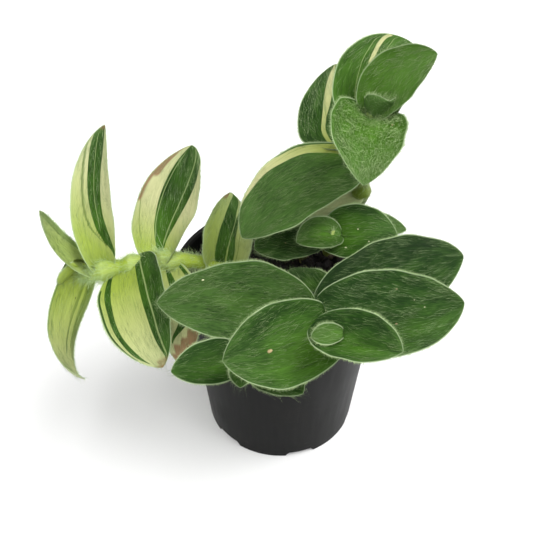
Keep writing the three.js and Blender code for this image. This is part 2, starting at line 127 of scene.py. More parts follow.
TRAILING_LEAVES = [
    Leaf((-23, 0.5, 78), 71, 90, 36, 22, 40, 10, -20, 45, youth=0.12, shag=0.1, pale=True,
         lime=(1.1, 0.7, 0.3), felt=0.5,
         stripes=[("green", ((0, 0.1, 0.5), (0.25, 0.01, 0.45), (0.4, -0.07, 0.39),
                             (0.6, -0.23, 0.28), (0.8, -0.42, 0.12), (0.9, -0.73, -0.03),
                             (0.96, -1, -0.35), (1, -1, -0.9))),
                  ("green", ((0, -0.3, 0), (0.3, -0.35, -0.08), (0.5, -0.33, -0.17),
                             (0.7, -0.45, -0.33), (0.85, -0.68, -0.66)))],
         lines=((0.13, ((0, 0), (0.3, -0.05), (0.5, -0.15), (0.7, -0.32), (0.85, -0.6))), None,
                (0.14, ((0, -0.45), (0.5, -0.48), (0.8, -0.7)))),
         dried=[(0.93, 1.2, 0.3, 1.2)]),
    Leaf((-45, -3.5, 87.5), -73, -7, 44, 18, 25, -15, 0, 15, base=0.3, youth=0.2, shag=0.1,
         pale=True, lime=(0.9, -0.1, 0),
         stripes=[("green", ((0.05, -0.4, -0.1), (0.3, -0.2, 0.2), (0.6, 0, 0.35),
                             (0.65, -0.1, 0.35), (0.7, -0.25, 0.08), (0.75, -0.45, -0.25),
                             (0.81, -0.58, -0.52))),
                  ("green", ((0, 0.6, 0.85), (0.6, 0.8, 0.95)))],
         dried=[(0.68, 1.2, 0.35, 1.2), (0.76, 1.2, 0, 0.5), (0.82, 1.2, -0.5, 0.1),
                (0.9, 1.2, -1.2, -0.4)]),
    Leaf((-48, -4, 87), 86, 33, 56, 31, 15, -15, 20, 25, base=0.4, youth=0.2, shag=0.1,
         pale=True, lime=(1.4, -1.3, 0.25), grit=[(0.1, -0.15, 0.45, 0.04)],
         stripes=[("green", ((0.06, 0.1, 0.1), (0.12, -0.03, 0.23), (0.2, -0.1, 0.31),
                             (0.3, -0.28, 0.38), (0.4, -0.43, 0.4), (0.5, -0.6, 0.41),
                             (0.6, -0.75, 0.41), (0.7, -0.87, 0.4), (0.8, -0.97, 0.39),
                             (0.9, -1.1, 0.38), (0.97, -1.1, 0.3), (1.05, -1.1, 0)))],
         lines=((0.3, ((0.15, 0.03), (0.3, -0.1), (0.5, -0.3), (0.6, -0.4), (0.7, -0.5),
                       (0.8, -0.63), (0.9, -0.77), (0.95, -0.85))),
                (0.17, ((0.2, 0.29), (0.35, 0.35), (0.6, 0.33), (0.8, 0.28), (0.93, 0.2))),
                (0.2, ((0.17, 0.7), (0.3, 0.8), (0.45, 0.88), (0.56, 0.96)))),
         dried=[(0.7, 0.93, 0.72, 1.2), (0.48, 0.75, 0.89, 1.2), (0.92, 0.98, 0.8, 1.2)]),
    Leaf((-60, -1, 88.6), -88, 7, 52, 30, 47, 35, -30, 30, base=0.45, clasp=-10, youth=0.2,
         shag=0.1, pale=True, lime=(1.5, 0.1, 0), grit=[(0.1, 0.12, 0.5, 0.04)],
         stripes=[("green", ((0.04, -0.77, -0.7), (0.1, -0.83, -0.68), (0.3, -0.81, -0.63),
                             (0.5, -0.81, -0.67), (0.7, -0.83, -0.7), (0.85, -0.87, -0.68),
                             (0.94, -0.76, -0.72))),
                  ("green", ((0.25, -0.98, -0.92), (0.6, -0.98, -0.92), (0.88, -0.98, -0.93))),
                  ("green", ((0, 0.5, 1.1), (0.1, 0.19, 1.1), (0.5, 0.18, 1.1),
                             (0.7, 0.18, 1.1), (0.8, 0.2, 1.1), (0.86, 0.27, 1.1),
                             (0.9, 0.37, 1.1), (0.95, 0.65, 1.1), (1, 0.9, 1.1)))],
         lines=((0.35, ((0.05, 0.4), (0.5, 0.39), (0.75, 0.4), (0.85, 0.46), (0.9, 0.57),
                        (0.94, 0.8))), None, None),
         dried=[(0.945, 0.975, -0.3, 1.2), (0.975, 1.2, -1, 1.2)]),
    Leaf((-71, -5, 85), 117, 76, 59, 18, 35, -55, 10, 30, base=0.5, youth=0.2, shag=0.1,
         pale=True, lime=(1.5, -0.6, 0.35), felt=0.3,
         stripes=[("green", ((0.12, -1, -0.93), (0.16, -0.95, -0.7), (0.2, -0.8, -0.43),
                             (0.3, -0.57, -0.03), (0.4, -0.43, 0.1), (0.5, -0.39, 0.2),
                             (0.6, -0.39, 0.27), (0.7, -0.44, 0.33), (0.8, -0.53, 0.48),
                             (0.9, -0.6, 0.75), (0.96, -0.55, 1.1), (1.05, 0, 1.1))),
                  ("faint", ((0.18, -0.55, -0.42), (0.2, -0.42, -0.3), (0.25, -0.17, -0.03),
                             (0.3, 0.08, 0.25), (0.4, 0.3, 0.46), (0.5, 0.37, 0.53),
                             (0.6, 0.42, 0.58), (0.7, 0.5, 0.67), (0.8, 0.65, 0.83),
                             (0.88, 0.9, 1.05)))],
         lines=((0.12, ((0.3, -0.22), (0.4, -0.17), (0.5, -0.08), (0.7, -0.03), (0.8, 0.03),
                        (0.9, 0.23), (0.95, 0.5))), None,
                (0.16, ((0.18, -0.49), (0.25, -0.07), (0.32, 0.25), (0.45, 0.43), (0.6, 0.52),
                        (0.7, 0.6), (0.8, 0.76), (0.86, 0.92)))),
         dried=[(0.97, 1.2, -1, 1)]),
    Leaf((-79, -4.5, 90.5), -151, -69.9, 60.8, 17.3, -92.8, 118.8, 61.3, 11.5, base=0.75,
         clasp=60, youth=0.3, shag=0.3, pale=True, lime=(1.4, 0.1, -0.1), felt=0.25,
         grit=[(0.27, 0.3, 0.45, 0.04)],
         stripes=[("faint", ((0.05, 0.3, 0.5), (0.3, 0.38, 0.52), (0.65, 0.42, 0.5))),
                  ("faint", ((0.05, 0.6, 1.1), (0.3, 0.66, 1.1), (0.5, 0.72, 1.1),
                             (0.68, 0.8, 1.1))),
                  ("faint", ((0.1, -1.1, -0.86), (0.6, -1.1, -0.92)))],
         lines=(None, None, (0.2, ((0.05, 0.75), (0.3, 0.78), (0.6, 0.72), (0.68, 0.7)))),
         dried=[(0.9, 1.2, 0.2, 1.2)]),
    Leaf((-76, -5, 85.5), 184, 40, 36, 13, -50, 10, 15, 35, base=0.8, clasp=45, youth=0.5,
         shag=0.3, pale=True, lime=(1.4, 0.7, 0.2), felt=0.7,
         stripes=[("faint", ((0.1, -1.1, -0.8), (0.4, -1.1, -0.7), (0.75, -1.1, -0.5),
                             (1, -1.1, -0.2)))]),
    Leaf((-80, -6.5, 89), -150, -30, 11, 14, 10, 0, -40, 60, base=0.7, clasp=85, youth=0.4,
         shag=0.4, pale=True, lime=(1.5, 1.2, 0), felt=0.1),
]
TALL_LEAVES = [
    Leaf((29.5, 11.6, 112), 206, -30, 23, 12, -10, 0, 30, 30, base=0.7, clasp=40, slack=-0.5,
         youth=1, shag=1, pale=True, lime=(-0.2, -0.2, 0), felt=0.7),
    Leaf((29, 5.6, 129.2), 200, 4, 54, 32, 50, 10, 10, 20, base=0.3, clasp=35, youth=0.04,
         shag=0.35, lime=(1.2, -0.5, 0), felt=0.8, glow=(0.1, -0.6, 0.16, 0.8),
         stripes=[("pale", ((0.03, -0.93, -0.45), (0.15, -0.93, -0.6), (0.3, -0.93, -0.72),
                            (0.5, -0.97, -0.78), (0.6, -1.2, -0.82), (0.75, -1.2, -0.87),
                            (0.87, -1.2, -0.97)))]),
    Leaf((29.5, 8, 134), 119, -7, 51, 33, -35, -40, 25, 5, youth=0.08, shag=0.3,
         lime=(1.2, -0.2, 0), felt=0.3,
         stripes=[("pale", ((0.1, 0.55, 0.65), (0.3, 0.42, 0.52), (0.4, 0.37, 0.47),
                            (0.5, 0.27, 0.38), (0.6, 0.13, 0.31), (0.7, 0.05, 0.28),
                            (0.9, -0.01, 0.28), (1, -0.1, 0.25)))]),
    Leaf((31, 9, 143), 53, 91, 37, 34, 85, -5, -15, 25, slack=0.3, youth=0.36, shag=0.2,
         lime=(0.3, 0, 0), glow=(0.5, -0.2, 0.5, 0.2),
         stripes=[("pale", ((0.1, 0.2, 0.26), (0.5, 0.33, 0.38), (0.6, 0.38, 0.46),
                            (0.7, 0.45, 0.55), (0.8, 0.59, 0.71), (0.9, 0.83, 0.98)))],
         lines=((0.1, ((0.1, 0.4), (0.5, 0.52), (0.7, 0.67), (0.82, 0.85))),
                (0.1, ((0.1, 0.05), (0.5, 0.17), (0.7, 0.25), (0.85, 0.45), (0.93, 0.75))),
                None)),
    Leaf((31.5, 9, 147), -106, 33, 44, 29, 65, 15, 10, 40, youth=0.45, shag=1, felt=0.45,
         grit=[(0.35, 0.62, 0.8, 1.0)]),
    Leaf((32, 9, 149), 2, 75, 32, 23, 50, -5, -50, 60, base=0.45, youth=0.75, shag=0.6,
         felt=0.9, glow=(0.35, 0.1, 0.2, 1)),
    Leaf((34.8, 6.5, 147), -72, 78, 12, 19, 20, 0, 16, 80, base=0.8, clasp=90, youth=1, shag=1,
         felt=1),
]
MIDDLE_LEAVES = [
    Leaf((15, 0, 95), 13, 26, 36, 17, 45, -5, -10, 30, youth=0.15, shag=0.3, felt=0.6),
    Leaf((14, 0, 97), 205, 27, 27, 26, 45, -15, 15, 40, youth=0.08, shag=0.35, felt=0.35,
         glow=(0.2, 0, 0.3, 0.1), grit=[(0.55, 0.1, 0.45, 1.0)]),
    Leaf((16.5, -4, 102), -12, 22, 28, 25, 35, 10, -20, 20, base=0.55, clasp=40, youth=0.16,
         shag=0.25, glow=(0.2, -0.1, 0.45, 0.36),
         grit=[(0.45, 0.15, 0.5, 2.4), (0.3, -0.55, 0.6, 2.4), (0.6, -0.3, 0.4, 2.2)]),
    Leaf((22.1, -6.6, 104.8), 198, 25, 18.8, 15.5, 38, 5, 20, 40, base=0.3, clasp=50, youth=0.3,
         shag=0.6, felt=0.5, glow=(0.35, 0, 0.35, 0.5)),
]
FRONT_LEAVES = [
    Leaf((11.3, -36, 103), 112, -16, 22, 19, 0, 0, 0, 0, base=0.6, clasp=-30, youth=0,
         shag=0.1, felt=0.4),
    Leaf((10.6, -39, 102.2), 32.2, -11.9, 68.6, 35.8, -10.4, -7.6, -66.8, 28.3, base=0.12,
         clasp=15, youth=0.02, shag=0.1, felt=0,
         glow=(0.6, -0.3, 0.4, 0.14)),
    Leaf((10.6, -41.5, 103.6), 158.3, -14.4, 58.1, 30.6, -16.9, 32, 64.7, 22, base=0.12,
         clasp=15, youth=0.02, shag=0.45, felt=0.7,
         glow=(0.45, 0.1, 0.22, 0.4), grit=[(0.7, -0.65, 0.7, 2.2)]),
    Leaf((10.8, -42.5, 104.2), -4, -16.5, 55.9, 32.4, -19.1, 22.6, -54.3, 27.4, base=0.15,
         clasp=15, youth=0.02, shag=0.25, felt=0.1,
         glow=(0.62, -0.5, 0.35, 0.32),
         grit=[(0.53, -0.25, 0.65, 0.8), (0.37, -0.07, 0.7, 0.75), (0.52, 0.55, 0.5, 1.0),
               (0.72, 0.1, 0.35, 2.2), (0.65, 0.3, 0.3, 2.2)]),
    # This leaf's glow lifts the near side by its root, which lies in shade: painted light
    Leaf((15.3, -56.3, 106.1), 201, -10, 38.2, 29.2, -10, -5, 40, 25, base=0.65, clasp=35,
         youth=0.12, shag=0.3, glow=(0.25, 0.4, 0.5, 0.45), grit=[(0.58, 0.05, 1.3, 1.3)]),
    Leaf((9.1, -59.5, 111.2), -34.5, 14.5, 32.3, 22.2, 12, 5, -5, 5, base=0.3, clasp=5, youth=0.08,
         shag=0.3, glow=(0.65, -0.35, 0.35, 0.3)),
    Leaf((18.2, -67.5, 114.7), 179, -1, 10.5, 8.4, 20, -5, 30, 45, base=0.5, youth=0.3, shag=0.5,
         felt=0.9),
]
LOW_LEAVES = [
    Leaf((-13, -52, 87), 204, 9, 28, 18, 10, -10, 20, 25, youth=0.08, shag=0, felt=0,
         glow=(0.45, 0.1, 0.5, 0.3)),
    Leaf((-12.5, -53.5, 87.5), -49, 15, 26, 19, 20, 10, -5, 20, youth=0.1),
    Leaf((-13, -54, 87.5), -103, 20, 13, 11, 45, 5, -10, 25, youth=0.2),
]

# A stem: the radius, the points that it passes from its foot in the mix to its tip, the axis
# that its path never lies along, how lime it is, how hairy, its leaves, its finish and the
# length of the sheath below each leaf.
Stem = namedtuple("Stem", "radius path across lime shag leaves slot sheath", defaults=(9,))

STEMS = {
    "left_trailing_stem": Stem(
        2.8,
        [(-14, 4, 58), (-14, 4, 66), (-14, 4, 73), (-15, 3.7, 77), (-22.5, 1.5, 80),
         (-34, -1, 86.5), (-50, -3.5, 88), (-66, -5, 86.5), (-80, -6, 84)],
        (0, 1, 0), 1.0, 1.0, TRAILING_LEAVES, "lime_foliage"),
    "tall_stem": Stem(
        2.4,
        [(20, 21, 58), (20, 21, 66), (20, 21, 73), (21, 20.8, 81), (25.5, 19, 92), (30, 15.5, 104),
         (30.6, 10.2, 116.5), (29.8, 8, 130), (32, 9, 151.5)],
        (1, 0, 0), 0.45, 0.3, TALL_LEAVES, "green_foliage", 15),
    "middle_stem": Stem(
        2.0,
        [(9, 18, 58), (9, 18, 66), (9, 18, 73), (9.6, 16, 80), (12, 7.5, 88.5), (15, -1, 98),
         (17, -5.5, 103.5), (19.3, -7.3, 106.3)],
        (1, 0, 0), 0.15, 0.3, MIDDLE_LEAVES, "green_foliage"),
    "front_stem": Stem(
        1.8,
        [(2, -2, 58), (2, -2, 66), (2, -2, 73), (2.7, -4.5, 79), (5.2, -12, 87), (8.5, -24, 96),
         (10.5, -40, 101.5), (12.6, -49, 104.2), (15.2, -57.5, 107.3), (17.6, -65.3, 112.3)],
        (1, 0, 0), 0.0, 0.25, FRONT_LEAVES, "green_foliage"),
    "low_front_shoot": Stem(
        1.8,
        [(-4, -20, 58), (-4, -20, 66), (-4, -20, 73), (-4.7, -22.5, 77.5), (-7.3, -31.5, 81),
         (-10.5, -42.5, 83.8), (-13, -54.5, 87.6)],
        (1, 0, 0), 0.05, 0.25, LOW_LEAVES, "green_foliage"),
}

# Stems, in millimetres: how much a sheath widens the stem, as a part of its radius, the stretch
# over which the tip narrows and its part of the radius, the spacing of the rings and their
# points, and how much of the foot is buried in the mix
SHEATH_SWELL = 0.65
TAPER_LENGTH = 9
TIP_RADIUS = 0.4
RING_SPACING = 0.45
RING_POINTS = 28
BURIED = 15.5

# Hairs, in millimetres: how deep a foot is sunk, the part of length times width that a blade
# fills, the shag from which it has loose hairs too and how long those are, and the share of hairs
# on the upper and the lower face
HAIR_SINK = 0.06
BLADE_FILL = 0.72
SHAGGY = 0.8
LONG_HAIRS = (1.8, 4.6)
FACES = ((1, 1.0), (-1, 0.4))

# Mix, in millimetres: the wall that it keeps clear of, the heights over which its edge turns in,
# the rings and points of its top, the longest and shortest of its fine waves in radians on a
# millimetre and their number, how far crumbs and fibres spread, and the fibres' sizes
MIX_WALL = 1.3
MIX_EDGE = (71.2, 71.4)
MIX_GRID = (110, 240)
FINE_WAVES = (0.7, 6.5, 26)
CRUMB_SPREAD = 40.5
FIBRES = 150
FIBRE_SPREAD = 39
FIBRE_LENGTHS = (3, 7)
FIBRE_RADIUS = 0.09

# Tints that go with the settings' colours
# The two felt greys below are partly the hairs' own colour and partly a painted velvet sheen
FUZZ_AND_SHEEN = (0.08, 0.17, 0.033)
PALE_FELT_AND_SHEEN = (0.32, 0.41, 0.22)
PALE_HAIRLINE = (0.3, 0.38, 0.15)
DARK_HAIRLINE = (0.09, 0.16, 0.02)
HAIRY_RIM = (0.4, 0.5, 0.29)
UNDERSIDE = (0.1, 0.16, 0.07)
SHEATH_MOUTH = (0.5, 0.6, 0.24)
STEM_FOOT = (0.24, 0.17, 0.09)
SHADED_HAIR = (0.045, 0.1, 0.015)
WORN_PLASTIC = (0.006, 0.0062, 0.0058)
SCUFFED_PLASTIC = (0.09, 0.085, 0.075)
# The lip's lighter grey below is a painted highlight
LIP_HIGHLIGHT = (0.05, 0.05, 0.047)
DUST = (0.17, 0.15, 0.12)
BARK = (0.02, 0.013, 0.008)
DRY_FIBRE = (0.17, 0.13, 0.085)
TAN_BARK = (0.3, 0.23, 0.11)
PALE_GRIT = (0.6, 0.62, 0.36)

# Stage: the camera's target in millimetres, the floor's half width and depth, and each light's
# place in metres, power as a part of the key light's, and size
TARGET = (-6.3, 0, 83)
FLOOR_REACH = 2.5
FLOOR_DEPTH = 0.0002
LIGHTS = {
    "key_light": ((0.78, -0.15, 1.38), 1, 1.4),
    "top_light": ((-0.35, -0.75, 0.95), 0.24, 0.8),
}
LIGHT_AIM = (0, 0, 0.09)


# Settings


def length_setting(name, description, default, low, high):
    """A length in metres that a user may change."""
    return FloatProperty(name=name, description=description, default=default, min=low, max=high,
                         unit="LENGTH", precision=6)


def color_setting(name, description, default):
    """A colour that a user may change."""
    return FloatVectorProperty(name=name, description=description, default=default, min=0, max=1,
                               subtype="COLOR")


class PotSettings(PropertyGroup):
    """Sizes and finish of the nursery pot."""

    wall: length_setting("Wall", "Thickness of the moulded wall", 0.0013, 0.0005, 0.003)
    edge: length_setting("Edge radius", "Rounding of the moulded edges", 0.00028, 0.00005, 0.0006)
    segments: IntProperty(
        name="Segments", description="Steps round the pot", default=288, min=72, max=576)
    color: color_setting("Plastic", "Colour of the moulded plastic", (0.003, 0.0032, 0.003))


class MixSettings(PropertyGroup):
    """Sizes and colours of the potting mix."""

    relief: length_setting("Relief", "Height of the lumps in the surface", 0.0009, 0, 0.003)
    crumbs: IntProperty(
        name="Crumbs", description="Loose crumbs of peat and bark on the surface",
        default=1700, min=0, max=4000)
    crumb_size: length_setting("Crumb size", "Mean radius of a crumb", 0.00075, 0.0002, 0.002)
    color: color_setting("Peat", "Colour of the damp peat", (0.006, 0.0042, 0.0034))


class FoliageSettings(PropertyGroup):
    """Sizes and colours of the leaves and stems."""

    thickness: length_setting(
        "Blade thickness", "Thickness of a blade along its middle", 0.0006, 0.0003, 0.0012)
    ripple: length_setting("Ripple", "How far a margin waves up and down", 0.0005, 0, 0.002)
    green: color_setting("Mature green", "Colour of a grown leaf", (0.008, 0.033, 0.0022))
    young: color_setting("Young green", "Colour of a young leaf", (0.075, 0.195, 0.01))
    cream: color_setting("Cream", "Colour of the pale stripes", (0.5, 0.5, 0.25))
    lime: color_setting("Lime", "Colour of the pale stripes near the stem", (0.275, 0.36, 0.034))
    dried: color_setting("Dried", "Colour of dried edges and tips", (0.22, 0.11, 0.055))


class HairSettings(PropertyGroup):
    """Sizes, number and colour of the hairs."""

    length: length_setting(
        "Length", "Mean length of a hair that lies on a blade", 0.003, 0.0005, 0.006)
    fringe: length_setting(
        "Fringe length", "Mean length of a hair on a margin", 0.00085, 0.0002, 0.003)
    width: length_setting("Width", "Width of a hair at its root", 0.00005, 0.00002, 0.0002)
    density: FloatProperty(
        name="Density", description="Hairs on a square millimetre of blade",
        default=1.9, min=0, max=3)
    fringe_density: FloatProperty(
        name="Fringe density", description="Hairs on a millimetre of margin",
        default=11, min=0, max=20)
    color: color_setting("Hair", "Colour of the hairs", (0.52, 0.67, 0.32))


class StageSettings(PropertyGroup):
    """Camera, floor and light."""

    elevation: FloatProperty(
        name="Camera elevation", description="How far down the camera looks",
        default=math.radians(42), min=0, max=math.pi / 2, subtype="ANGLE")
    distance: length_setting(
        "Camera distance", "Distance from the camera to its target", 0.343, 0.1, 2)
    focal: FloatProperty(
        name="Focal length", description="Focal length on a 36 mm sensor",
        default=57.41, min=10, max=200, subtype="DISTANCE_CAMERA")
    floor: color_setting("Floor", "Colour of the floor", (0.98, 0.98, 0.98))
    key: FloatProperty(
        name="Key light", description="Power of the soft light from the right",
        default=32, min=0, max=200, unit="POWER")
    sky: FloatProperty(
        name="Surround", description="Strength of the white surround", default=0.42, min=0, max=3)


# Meshes


def smooth_step(low, high, x):
    """3u^2 - 2u^3 with u = (x - low) / (high - low), held between 0 and 1."""
    u = np.clip((x - low) / (high - low), 0, 1)
    return u * u * (3 - 2 * u)


def window(x, start, end, soft):
    """1 between start and end and 0 outside, with a smooth step of twice soft at either."""
    return smooth_step(start - soft, start + soft, x) * smooth_step(end + soft, end - soft, x)


def unit(vectors):
    """Each vector over its own length."""
    return vectors / np.linalg.norm(vectors, axis=-1, keepdims=True)


def circle(count):
    """Evenly spaced angles once round."""
    return np.linspace(0, 2 * math.pi, count + 1)[:-1]


def polar(radius, angle):
    """The x and y of places by their distance and angle from the axis."""
    return radius * np.cos(angle), radius * np.sin(angle)


def scattered(rng, count, spread):
    """The x and y of random places, evenly thick over a disc."""
    reach = spread * np.sqrt(rng.random(count))
    return polar(reach, rng.uniform(0, 2 * math.pi, count))


class Patch:
    """Points, quads, triangles and point attributes of one surface, in millimetres."""

    def __init__(self, points, quads=(), triangles=(), **attributes):
        self.points = np.asarray(points, float).reshape(-1, 3)
        self.quads = np.asarray(quads, int).reshape(-1, 4)
        self.triangles = np.asarray(triangles, int).reshape(-1, 3)
        self.attributes = attributes


def closed_rows(rows, caps=True, **attributes):
    """A tube from rows of points, each row a closed loop, with a fan to the middle of each end
    row. With caps=False the last row runs on into the first, as on a ring."""
    rows = np.asarray(rows, float)
    count, width = rows.shape[:2]
    i, j = np.meshgrid(np.arange(count - 1 if caps else count), np.arange(width), indexing="ij")
    below, above = i * width, ((i + 1) % count) * width
    beside = (j + 1) % width
    quads = np.stack([below + j, below + beside, above + beside, above + j], -1)
    points = rows.reshape(-1, 3)
    flat = {k: np.asarray(v, float).reshape(count * width, -1) for k, v in attributes.items()}
    triangles = ()
    if caps:
        ring = np.arange(width)
        turn = (ring + 1) % width
        foot, top = count * width, count * width + 1
        last = (count - 1) * width
        points = np.concatenate([points, [rows[0].mean(0), rows[-1].mean(0)]])
        triangles = np.concatenate([
            np.stack([turn, ring, np.full(width, foot)], -1),
            np.stack([last + ring, last + turn, np.full(width, top)], -1)])
        flat = {k: np.concatenate([v, v[:width].mean(0)[None], v[last:last + width].mean(0)[None]])
                for k, v in flat.items()}
    return Patch(points, quads, triangles, **flat)


def build(name, patches, material, nodes, smooth=True):
    """Joins patches into one mesh object in metres, and sets what it rides on and replaces."""
    starts = np.cumsum([0] + [len(p.points) for p in patches])
    points = np.concatenate([p.points for p in patches]) * MM
    quads = np.concatenate([p.quads + s for p, s in zip(patches, starts)])
    triangles = np.concatenate([p.triangles + s for p, s in zip(patches, starts)])
    corners = np.concatenate([quads.ravel(), triangles.ravel()]).astype(np.int32)
    sizes = np.concatenate([np.full(len(quads), 4), np.full(len(triangles), 3)])
    mesh = bpy.data.meshes.new(name)
    mesh.vertices.add(len(points))
    mesh.vertices.foreach_set("co", points.astype(np.float32).ravel())
    mesh.loops.add(len(corners))
    mesh.loops.foreach_set("vertex_index", corners)
    mesh.polygons.add(len(sizes))
    mesh.polygons.foreach_set("loop_start", (np.cumsum(sizes) - sizes).astype(np.int32))
    mesh.update(calc_edges=True)
    for key in patches[0].attributes:
        values = np.concatenate([p.attributes[key] for p in patches]).astype(np.float32)
        kind, field = ("FLOAT_VECTOR", "vector") if values.shape[1] == 3 else ("FLOAT", "value")
        mesh.attributes.new(key, kind, "POINT").data.foreach_set(field, values.ravel())
    mesh.polygons.foreach_set("use_smooth", np.full(len(sizes), smooth))
    if mesh.validate():
        raise RuntimeError(f"{name} has faces that Blender had to mend")
    mesh.materials.append(material)
    piece = bpy.data.objects.new(name, mesh)
    bpy.context.scene.collection.objects.link(piece)
    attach(piece, "root")
    if nodes:
        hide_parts(*nodes)
    return piece


# Blades


def outline(leaf, t):
    """Half width over the full half width: from the root it rises to 1 at PEAK by a power of
    1 - u^2, and from there it falls to 0 at the tip by a power of 1 - u^FULLNESS."""
    short = np.clip((PEAK - t) / PEAK, 0, 1)
    past = np.clip((t - PEAK) / (1 - PEAK), 0, 1)
    rising = leaf.base + (1 - leaf.base) * (1 - short**2) ** SHOULDER
    return np.where(t < PEAK, rising, (1 - past**FULLNESS) ** SHARPNESS)


def midrib(leaf, t):
    """Points, directions, upward and sideways axes at t. The direction's pitch is rise minus
    arch times t and its yaw is heading plus sway times t; the points are its running sum."""

    def axes(at):
        """Direction, upward and sideways axes at a part of the way."""
        pitch = np.radians(leaf.rise - leaf.arch * at)
        yaw = np.radians(leaf.heading + leaf.sway * at)
        flat = np.stack([np.cos(yaw), np.sin(yaw), np.zeros_like(at)], -1)
        vertical = np.array([0, 0, 1])
        along = np.cos(pitch)[..., None] * flat + np.sin(pitch)[..., None] * vertical
        up = np.cos(pitch)[..., None] * vertical - np.sin(pitch)[..., None] * flat
        side = np.cross(up, along)
        turn = np.radians(leaf.roll)
        return (along, up * math.cos(turn) + side * math.sin(turn),
                side * math.cos(turn) - up * math.sin(turn))

    knots = np.linspace(0, 1, 121)
    steps = axes((knots[1:] + knots[:-1]) / 2)[0] * leaf.length / (len(knots) - 1)
    path = np.concatenate([[np.zeros(3)], np.cumsum(steps, 0)]) + np.array(leaf.at, float)
    points = np.stack([np.interp(t, knots, path[:, k]) for k in range(3)], -1)
    return (points, *axes(t))


def blade_reach(leaf, t, v):
    """Half width in millimetres at t, a little uneven, and differently on the two sides."""
    number = leaf.length * 3.7 + leaf.width
    uneven = (np.sin(9 * t + number + 2 * np.sign(v))
              + 0.6 * np.sin(23 * t + 1.3 * number * np.sign(v)))
    narrow = 1 - leaf.slack * (v < 0)
    return 0.5 * leaf.width * outline(leaf, t) * narrow * (1 + UNEVEN * uneven)


def blade_point(leaf, t, v, half, ripple):
    """A point at t along and v across: each half of the section is an arc of the cup's angle,
    lifted by a ripple that grows with the fourth power of v, and set off by half along the
    section's normal. Returns the points, the normals, and the directions along and across."""
    points, along, up, side = midrib(leaf, t)
    reach = blade_reach(leaf, t, v)
    cup = np.radians(leaf.cup + (leaf.clasp - leaf.cup) * (1 - t) ** CLASP_FADE)
    cup = np.where(np.abs(cup) < 0.01, 0.01, cup)
    number = leaf.length + 5 * leaf.width
    wave = np.sin(11 * t + number + 3 * np.sign(v)) + 0.5 * np.sin(25 * t + number * np.sign(v))
    share = min(1, (leaf.width / FULL_RIPPLE_WIDTH) ** 2)
    lift = ripple * share * wave * v**4 * np.sin(math.pi * t) ** 0.7
    groove = -GROOVE_DEPTH * np.exp(-((v / GROOVE_WIDTH) ** 2)) * (1 - t)
    normal = (up * np.cos(cup * v)[..., None] - side * np.sin(cup * v)[..., None])
    across = reach * np.sin(cup * v) / cup
    raised = reach * (1 - np.cos(cup * v)) / cup
    place = (points + side * across[..., None] + up * raised[..., None]
             + normal * (lift + groove + half)[..., None])
    return place, normal, along, side


def eased(knots, t):
    """The broken line through the knots (t, value), averaged over a twentieth of the leaf."""
    at, values = zip(*knots)
    reach = np.linspace(-0.025, 0.025, 5)
    return np.mean([np.interp(t + shift, at, values) for shift in reach], axis=0)


def blade_marks(leaf, t, v, reach):
    """Distance in millimetres into the green part of the pattern, how lime its pale part is,
    and how dried the place is. A stripe's distance is the lesser of those to its two edges, less
    the way past its ends, and a faint stripe's stops at 0."""
    green = np.full(t.shape, -3.0 if leaf.pale else 3.0)
    for kind, knots in leaf.stripes:
        low = eased([(at, start) for at, start, _ in knots], t)
        high = eased([(at, end) for at, _, end in knots], t)
        inside = np.minimum(v - low, high - v) * (reach + 0.5)
        inside = inside - np.maximum(0, np.maximum(knots[0][0] - t, t - knots[-1][0])) * leaf.length
        if kind == "pale":
            green = np.minimum(green, -inside)
        else:
            green = np.maximum(green, inside if kind == "green" else np.minimum(inside, 0))
    root, tip, gain = leaf.lime
    lime = np.clip(root + (tip - root) * t**0.8 + gain * v, 0, 1)
    dried = np.zeros(t.shape)
    for t_from, t_to, v_from, v_to in leaf.dried:
        dried = np.maximum(dried, window(v, v_from, v_to, 0.08) * window(t, t_from, t_to, 0.04))
    return np.stack([green, lime, dried], -1)


def blade_lines(leaf, t, v, reach):
    """For each hairline its distance over its half width, which shrinks past the line's ends."""
    distances = np.full((*t.shape, 3), NO_LINE)
    for k, line in enumerate(leaf.lines):
        if line:
            half, knots = line
            inside = np.minimum(t - knots[0][0], knots[-1][0] - t)
            width = half * (0.02 + 0.98 * smooth_step(-0.03, 0.05, inside))
            distances[..., k] = (v - eased(knots, t)) * (reach + 0.3) / width
    return distances


